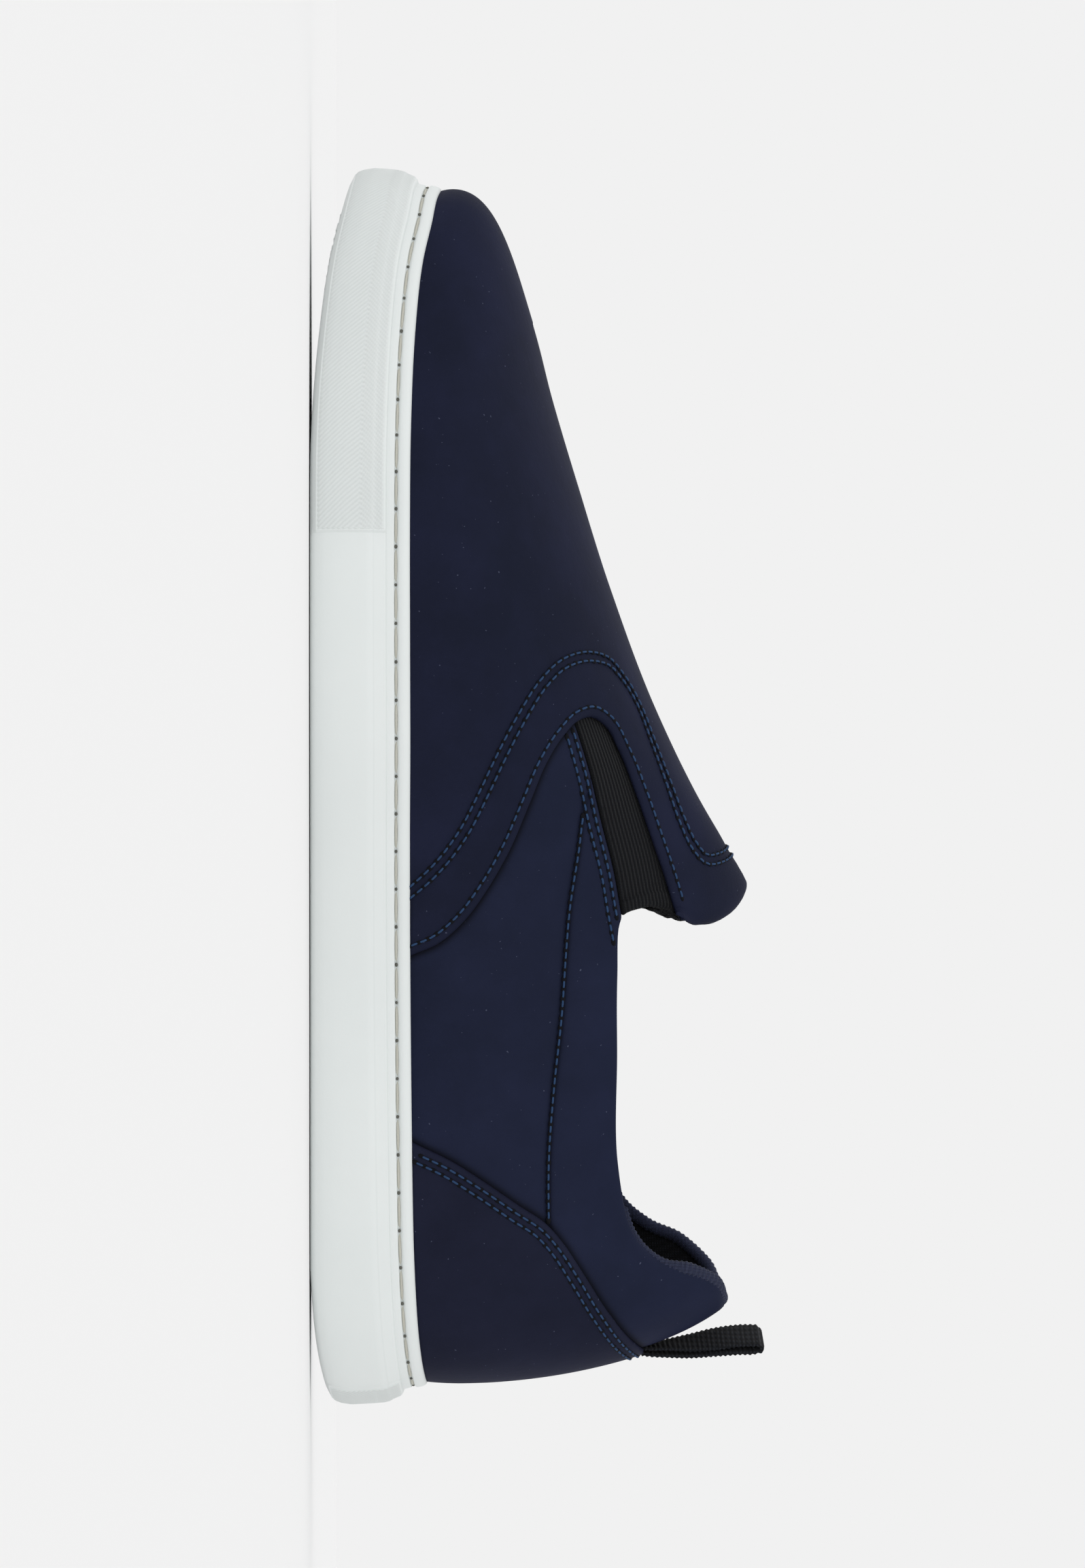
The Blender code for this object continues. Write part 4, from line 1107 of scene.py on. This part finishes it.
def threadAlong(chains, lift, settings):
    # a thread that dips into a hole at the end of every stitch, and the holes' dark beads of painted shade
    points, edges, holes, along, outward = [], [], [], [], []
    for chain in chains:
        ends = resample(chain, settings["pitch"])
        if len(ends) < 2:
            continue
        lengths = lengthsOf(chain[:, :3])
        first = len(points)
        for k in range(len(ends) - 1):
            for share in settings["steps"]:
                at = (k + share) * settings["pitch"]
                row = np.array([np.interp(at, lengths, chain[:, c]) for c in range(6)])
                arc = 1 - abs(2 * share - 1) ** 3
                height = lift - settings["sink"] + (settings["sink"] + settings["rise"]) * arc
                points.append(row[:3] + row[3:] * height)
        edges += [(k, k + 1) for k in range(first, len(points) - 1)]
        for k, row in enumerate(ends):
            other = ends[min(k + 1, len(ends) - 1)] - ends[max(k - 1, 0)]
            holes.append(row[:3] + row[3:] * (lift + settings["holeLift"]))
            along.append(other[:3])
            outward.append(row[3:])
    return points, edges, holes, {"along": along, "outward": outward}


def sew(names, slot, chains, lift, settings=stitching):
    # a row of thread and the row of its needle holes
    points, edges, holes, ways = threadAlong(chains, lift, settings)
    values = {"Thread Radius": settings["radius"], "Sides": settings["sides"], "Material": settings["thread"]}
    enter(grow(names[0], threadTree, values, points, edges), slot)
    enter(grow(names[1], holeTree, settings["hole"], holes, [], ways), slot)


# Every sewn row: the seams it follows at what distances, the height it lies at, where it runs
clearOfSole = (0.0116, 1)
sewnRows = {
    "saddleStitches": ("saddleSeam", (-0.0011, 0.0011), vampPanel["top"],
                       between(foot=clearOfSole, away=(0.33, 1.1))),
    "vampEdgeStitches": ("vampEdge", (-0.0023,), vampPanel["top"],
                         between(foot=clearOfSole, away=(0.3, 1.1), rim=(0.002, 1))),
    "counterStitches": ("counterEdge", (0.0019, 0.0038), counterPanel["top"],
                        between(foot=clearOfSole, away=(-1, 0.33))),
    "gussetStitches": ("gussetEdge", (0.0016, 0.0036), 0.0,
                       lambda rows: between(vampEdge=(0.0006, 1), rim=(0.0010, 1), away=(0.3, 1.1))(rows)
                       & (rows[:, 0] > 0.1030)),
    "collarStitches": ("collarSeam", (0.0,), 0.0,
                       between(counterEdge=(-1, -0.0006), gussetEdge=(0.0046, 1), vampEdge=(0.0006, 1))),
}
for name, (seam, distances, lift, keep) in sewnRows.items():
    chains = [chain for distance in distances for chain in contour(skin[:, fieldAt[seam]], distance, keep)]
    sew((name, name + "Holes"), "upper_nubuck", chains, lift)

# Binding: a ribbed knit strip folded over the collar
binding = {"thickness": 0.0031, "across": 16, "step": 0.0003, "ribPitch": 0.0013, "ribDepth": 0.00014,
           "reach": 0.21, "round": [0.0, 0.03, 0.12, 0.16, 0.21], "height": [3.2, 3.6, 3.6, 2.0, 0.5],
           "endRound": 0.001, "thinnest": 0.05, "inwards": 0.0010, "overTheEdge": 0.0006}


def makeBinding():
    last = int(np.searchsorted(stationAt, binding["reach"]))
    places = [k % total for k in range(-last, last + 1)]
    row = np.column_stack([grid[-1, places], gridNormals[-1, places],
                           grid[-1, places] - grid[-4, places], np.abs(around[places])])
    path = resample(row, binding["step"])
    points = []
    for k, sample in enumerate(path):
        centre, outward, rising = sample[:3], unit(sample[3:6]), unit(sample[6:9])
        rib = binding["ribDepth"] * math.cos(2 * math.pi * k * binding["step"] / binding["ribPitch"])
        tall = np.interp(sample[9], binding["round"], binding["height"]) * mm + rib
        toEnd = min(min(k, len(path) - 1 - k) * binding["step"] / binding["endRound"], 1)
        shrink = max(math.sqrt(1 - (1 - toEnd) ** 2), binding["thinnest"])
        for turn in range(binding["across"]):
            angle = 2 * math.pi * turn / binding["across"]
            sideways = (math.cos(angle) * (binding["thickness"] / 2 + rib) - binding["inwards"]) * shrink
            upwards = (math.sin(angle) - 1) * tall / 2 * shrink + binding["overTheEdge"]
            points.append(centre + outward * sideways + rising * upwards)
    piece = makePiece("collarBinding", points, tubeFaces(len(path), binding["across"]), bindingKnit)
    enter(piece, "upper_nubuck")


makeBinding()

# Pull loop: grosgrain ribbon, (along, up, turn) in millimetres and shares of its full turn in degrees
pullLoop = {
    "width": 0.0100, "thickness": 0.0010, "turn": 22.0, "ribPitch": 0.0012, "ribDepth": 0.00016,
    "edgeThinning": 0.35, "middle": 0.014,
    "path": [(11.2, 80.6, 0), (11.0, 83.0, 0.05), (11.25, 87.0, 0.3), (11.85, 92.2, 0.7), (12.75, 98.3, 1),
             (13.14, 104.4, 1), (13.29, 108.0, 1), (13.95, 109.98, 1), (14.79, 109.4, 1), (15.1, 107.0, 1),
             (14.94, 103.4, 1), (14.3, 98.8, 1), (13.4, 92.7, 0.7), (12.9, 87.0, 0.3), (12.5, 83.0, 0.05),
             (12.6, 80.6, 0)],
}


def makePullLoop():
    places = np.array(pullLoop["path"]) * (mm, mm, pullLoop["turn"])
    knots = lengthsOf(places[:, :2])
    at = np.arange(0, knots[-1], pullLoop["ribPitch"] / 6)
    x, z, turn = smoothPath(places, knots, at).T
    slopeX, slopeZ = np.gradient(x), np.gradient(z)
    middle = pullLoop["middle"] * shoe["ballWidth"]
    outline = [(share * face, face) for face in (1, -1) for share in np.linspace(-1, 1, 9)]
    points = []
    for k in range(len(at)):
        across = Matrix.Rotation(math.radians(turn[k]), 3, "Z") @ Vector((0, 1, 0))
        thick = Vector((slopeZ[k], 0, -slopeX[k])).normalized()
        rib = pullLoop["ribDepth"] * math.cos(2 * math.pi * at[k] / pullLoop["ribPitch"])
        for share, face in outline:
            tuck = 1 - pullLoop["edgeThinning"] * abs(share) ** 12
            offset = thick * (face * (pullLoop["thickness"] / 2 + rib) * tuck)
            reach = across * (share * (pullLoop["width"] / 2 + rib * 0.6))
            points.append(Vector((x[k], middle, z[k])) + reach + offset)
    piece = makePiece("pullLoop", points, tubeFaces(len(at), len(outline)), grosgrain, sharp=50)
    enter(piece, "ribbon", "pull_loop")


makePullLoop()

# Sock lining: a thin cloth-topped foam sheet, its rim turned up a little; inset and height of each ring
insole = {"clear": 0.0029, "overFloor": 0.0003, "columns": 121,
          "rings": [(0.0, 0.0), (0.0, 0.0045), (0.0006, 0.0056), (0.0018, 0.0058), (0.0045, 0.0050),
                    (0.0090, 0.0045)]}


def makeInsole():
    at = np.linspace(0, 1, insole["columns"])
    floor = heights(at)[2] + insole["overFloor"]
    rings = [cupInside(at, insole["clear"] + inset, floor + height) for inset, height in insole["rings"]]
    enter(makePiece("sockLining", *stackedRings(rings), insoleCloth), "insole_fabric", "insole")


makeInsole()

# Vents: a turned ring with a dished fine grille; its profile is (radius, height) in shares
vent = {"radius": 0.0052, "up": 0.038, "along": {"vent_front": 0.1098, "vent_rear": 0.0864}, "segments": 64,
        "profile": [(0.90, -0.3), (0.97, 0.0), (1.0, 0.4), (0.99, 0.75), (0.95, 1.0), (0.89, 1.12),
                    (0.82, 1.12), (0.76, 1.0), (0.72, 0.75), (0.70, 0.45)],
        "seat": 0.0004, "height": 0.0011, "dish": 0.0002,
        "grilleRings": 22, "grillePitch": 0.0009, "grilleDepth": 0.00016}


def makeVent(name, along):
    start = Vector((along, -shoe["ballWidth"], vent["up"]))
    place, normal = surfaceTree.ray_cast(start, Vector((0, 1, 0)))[:2]
    if normal.y > 0:
        normal = -normal
    turn = normal.to_track_quat("Z", "Y").to_matrix()
    seat = place + normal * vent["seat"]
    profile = [(r * vent["radius"], h * vent["height"], 0.0) for r, h in vent["profile"]]
    inner, low = profile[-1][:2]
    for share in np.linspace(0.97, 0.04, vent["grilleRings"]):
        profile.append((inner * share, low + vent["dish"] * (1 - share**2), vent["grilleDepth"]))
    points = []
    count = vent["segments"]
    for radius, height, grille in profile:
        for k in range(count):
            x, y = radius * math.cos(2 * math.pi * k / count), radius * math.sin(2 * math.pi * k / count)
            holes = [math.cos(2 * math.pi * side / vent["grillePitch"]) for side in (x, y)]
            points.append(seat + turn @ Vector((x, y, height + grille * holes[0] * holes[1])))
    faces = tubeFaces(len(profile), count)
    enter(makePiece(name.replace("_", ""), points, faces, ventMetal, sharp=60), "vent_metal", name)


for name, along in vent["along"].items():
    makeVent(name, along)

# Sole thread: long stitches of waxed thread lying in the groove
soleThread = {
    "pitch": 0.0090, "radius": 0.00034, "rise": 0.0, "sink": 0.0009, "sides": 8,
    "steps": [0.0, 0.04, 0.10, 0.2, 0.35, 0.5, 0.65, 0.8, 0.90, 0.96], "holeLift": 0.00008,
    "down": 0.00332, "inset": 0.0023, "endInset": 0.0040, "lift": 0.0001,
    "thread": makePlain("Waxed sole thread, stone", "c9c8bd", threadFinish),
    "hole": {"Hole Radius": 0.00034, "Length Share": 1.3, "Seed": 5,
             "Material": makePlain("Needle hole shade in rubber", "66665f", holeFinish)},
}


def makeSoleThread():
    at = np.linspace(0, 1, 400)
    row = insetRing(at, soleThread["inset"], soleThread["endInset"], heights(at)[1] - soleThread["down"])
    chain = np.column_stack([row, edge(at)[1], np.zeros(len(row))])
    chain = np.concatenate([chain, chain[:1]])
    sew(("soleStitches", "soleStitchHoles"), "sole_rubber", [chain], soleThread["lift"], soleThread)


makeSoleThread()

# Textured foxing: chevron ribs round the toe and a small patch at the heel
foxing = {"pitch": 0.00120, "relief": 0.00030, "apex": 0.62, "rows": 40, "border": 0.0006, "behind": 0.0003,
          "ridgeRound": 0.7, "valleyShade": 0.28, "edgeShade": 0.6, "edgeWidth": 0.0003, "edgeTall": 0.4,
          "toeFoxing": {"from": 0.6670, "to": 1.0, "columns": 470, "proud": 0.00052},
          "heelFoxing": {"from": 0.0, "to": 0.065377, "columns": 99, "proud": 0.00042}}


def makeFoxing(name):
    band = foxing[name]
    heel = band["from"] == 0
    at = np.linspace(band["from"], band["to"], band["columns"])
    full = np.unique(np.concatenate([at, np.linspace(0, 1, 200)]))
    inside = np.isin(ring(full, full), at)
    rings = np.array([stepRing(full, step)[inside] for step in soleSteps if step[4]])
    outward = edge(full)[1][inside]
    if heel:
        # the ring starts in the middle of the heel, the patch at its medial end
        half = int(inside[:len(full)].sum())
        rings, outward = np.roll(rings, -half, axis=1), np.roll(outward, -half, axis=0)
    tall = np.concatenate([[0], np.cumsum(np.linalg.norm(np.diff(rings, axis=0), axis=2).mean(axis=1))])
    share = np.linspace(0, 1, foxing["rows"])
    position = np.array([[np.interp(share, tall / tall[-1], rings[:, k, c]) for c in range(3)]
                         for k in range(rings.shape[1])]).transpose(2, 0, 1)
    along = lengthsOf(position[foxing["rows"] // 2])
    reach = np.abs(along - along[-1] / 2) * (-1 if heel else 1)
    away = np.abs(share - foxing["apex"]) * tall[-1]
    turns = (reach[None] - away[:, None]) / foxing["pitch"]
    ridge = (0.5 + 0.5 * np.cos(2 * np.pi * turns)) ** foxing["ridgeRound"]
    border = np.minimum(share, 1 - share)[:, None] * tall[-1]
    ends = np.minimum(along, along[-1] - along)[None]
    fade = np.clip(np.minimum(border, ends) / foxing["border"], 0, 1)
    flat = np.column_stack([outward, np.zeros(len(outward))])[None]
    proud = band["proud"] * np.sqrt(fade) + foxing["relief"] * ridge * fade
    points = np.concatenate([position + flat * proud[:, :, None], position - flat * foxing["behind"]])
    count = proud.size
    place = np.arange(count).reshape(proud.shape)
    front = np.stack([place[:-1, :-1], place[:-1, 1:], place[1:, 1:], place[1:, :-1]], axis=-1).reshape(-1, 4)
    rimPath = np.concatenate([place[0], place[1:, -1], place[-1, -2::-1], place[-2:0:-1, 0]])
    after = np.roll(rimPath, -1)
    sides = np.stack([after, rimPath, rimPath + count, after + count], axis=-1)
    faces = np.concatenate([front, sides, front[:, ::-1] + count])
    # painted shade lies between the ribs and darkens the band's own edge
    outer = np.minimum(border / foxing["edgeTall"], ends)
    dark = foxing["edgeShade"] * np.exp(-(outer / foxing["edgeWidth"]) ** 2)
    valley = np.maximum((1 - ridge) * fade * foxing["valleyShade"], dark)
    valley = {"valley": np.concatenate([valley.ravel(), np.zeros(count)])}
    enter(makePiece(name, points.reshape(-1, 3), faces, rubberWithPaintedShade, valley), "sole_rubber")


makeFoxing("toeFoxing")
makeFoxing("heelFoxing")

# Tread: wave ribs across the forefoot and the heel, standing in shallow fields
tread = {"pitch": 0.0024, "width": 0.0012, "depth": 0.0008, "wave": 0.016, "amplitude": 0.0013,
         "inset": 0.0104, "fields": [(0.064, 0.358), (0.494, 1.0)], "buried": 0.00005}


def insideOutline(outline, x, y):
    found = np.zeros(np.shape(x), bool)
    for a, b in zip(outline, np.roll(outline, -1, axis=0)):
        if a[1] != b[1]:
            found ^= ((a[1] > y) != (b[1] > y)) & (x < (b[0] - a[0]) * (y - a[1]) / (b[1] - a[1]) + a[0])
    return found


def makeTread():
    fine = np.linspace(0, 1, 400)
    alongAt, bottomAt = level(soleRows, "along", fine) * shoe["length"], heights(fine)[0][:400]
    points, edges = [], []
    for first, last in tread["fields"]:
        at = np.unique(np.concatenate([np.linspace(0, 1, 160), [first, last]]))
        around = ring(at, at)
        outline = insetRing(at, tread["inset"], tread["inset"], heights(at)[0])
        outline = outline[(around >= first) & (around <= last)]
        low, high = outline[:, 0].min(), outline[:, 0].max()
        y = np.linspace(outline[:, 1].min(), outline[:, 1].max(), 90)
        for start in np.arange(low - tread["amplitude"], high + tread["amplitude"], tread["pitch"]):
            x = start + tread["amplitude"] * np.sin(2 * np.pi * y / tread["wave"])
            z = np.interp(x, alongAt, bottomAt) + tread["depth"] / 2 + tread["buried"]
            kept = np.flatnonzero(insideOutline(outline, x, y))
            edges += [(len(points) + k, len(points) + k + 1) for k in np.flatnonzero(np.diff(kept) == 1)]
            points += np.column_stack([x, y, z])[kept].tolist()
    values = {"Rib Width": tread["width"], "Rib Height": tread["depth"], "Material": rubber}
    enter(grow("treadRibs", ribTree, values, points, edges), "sole_rubber")


makeTread()
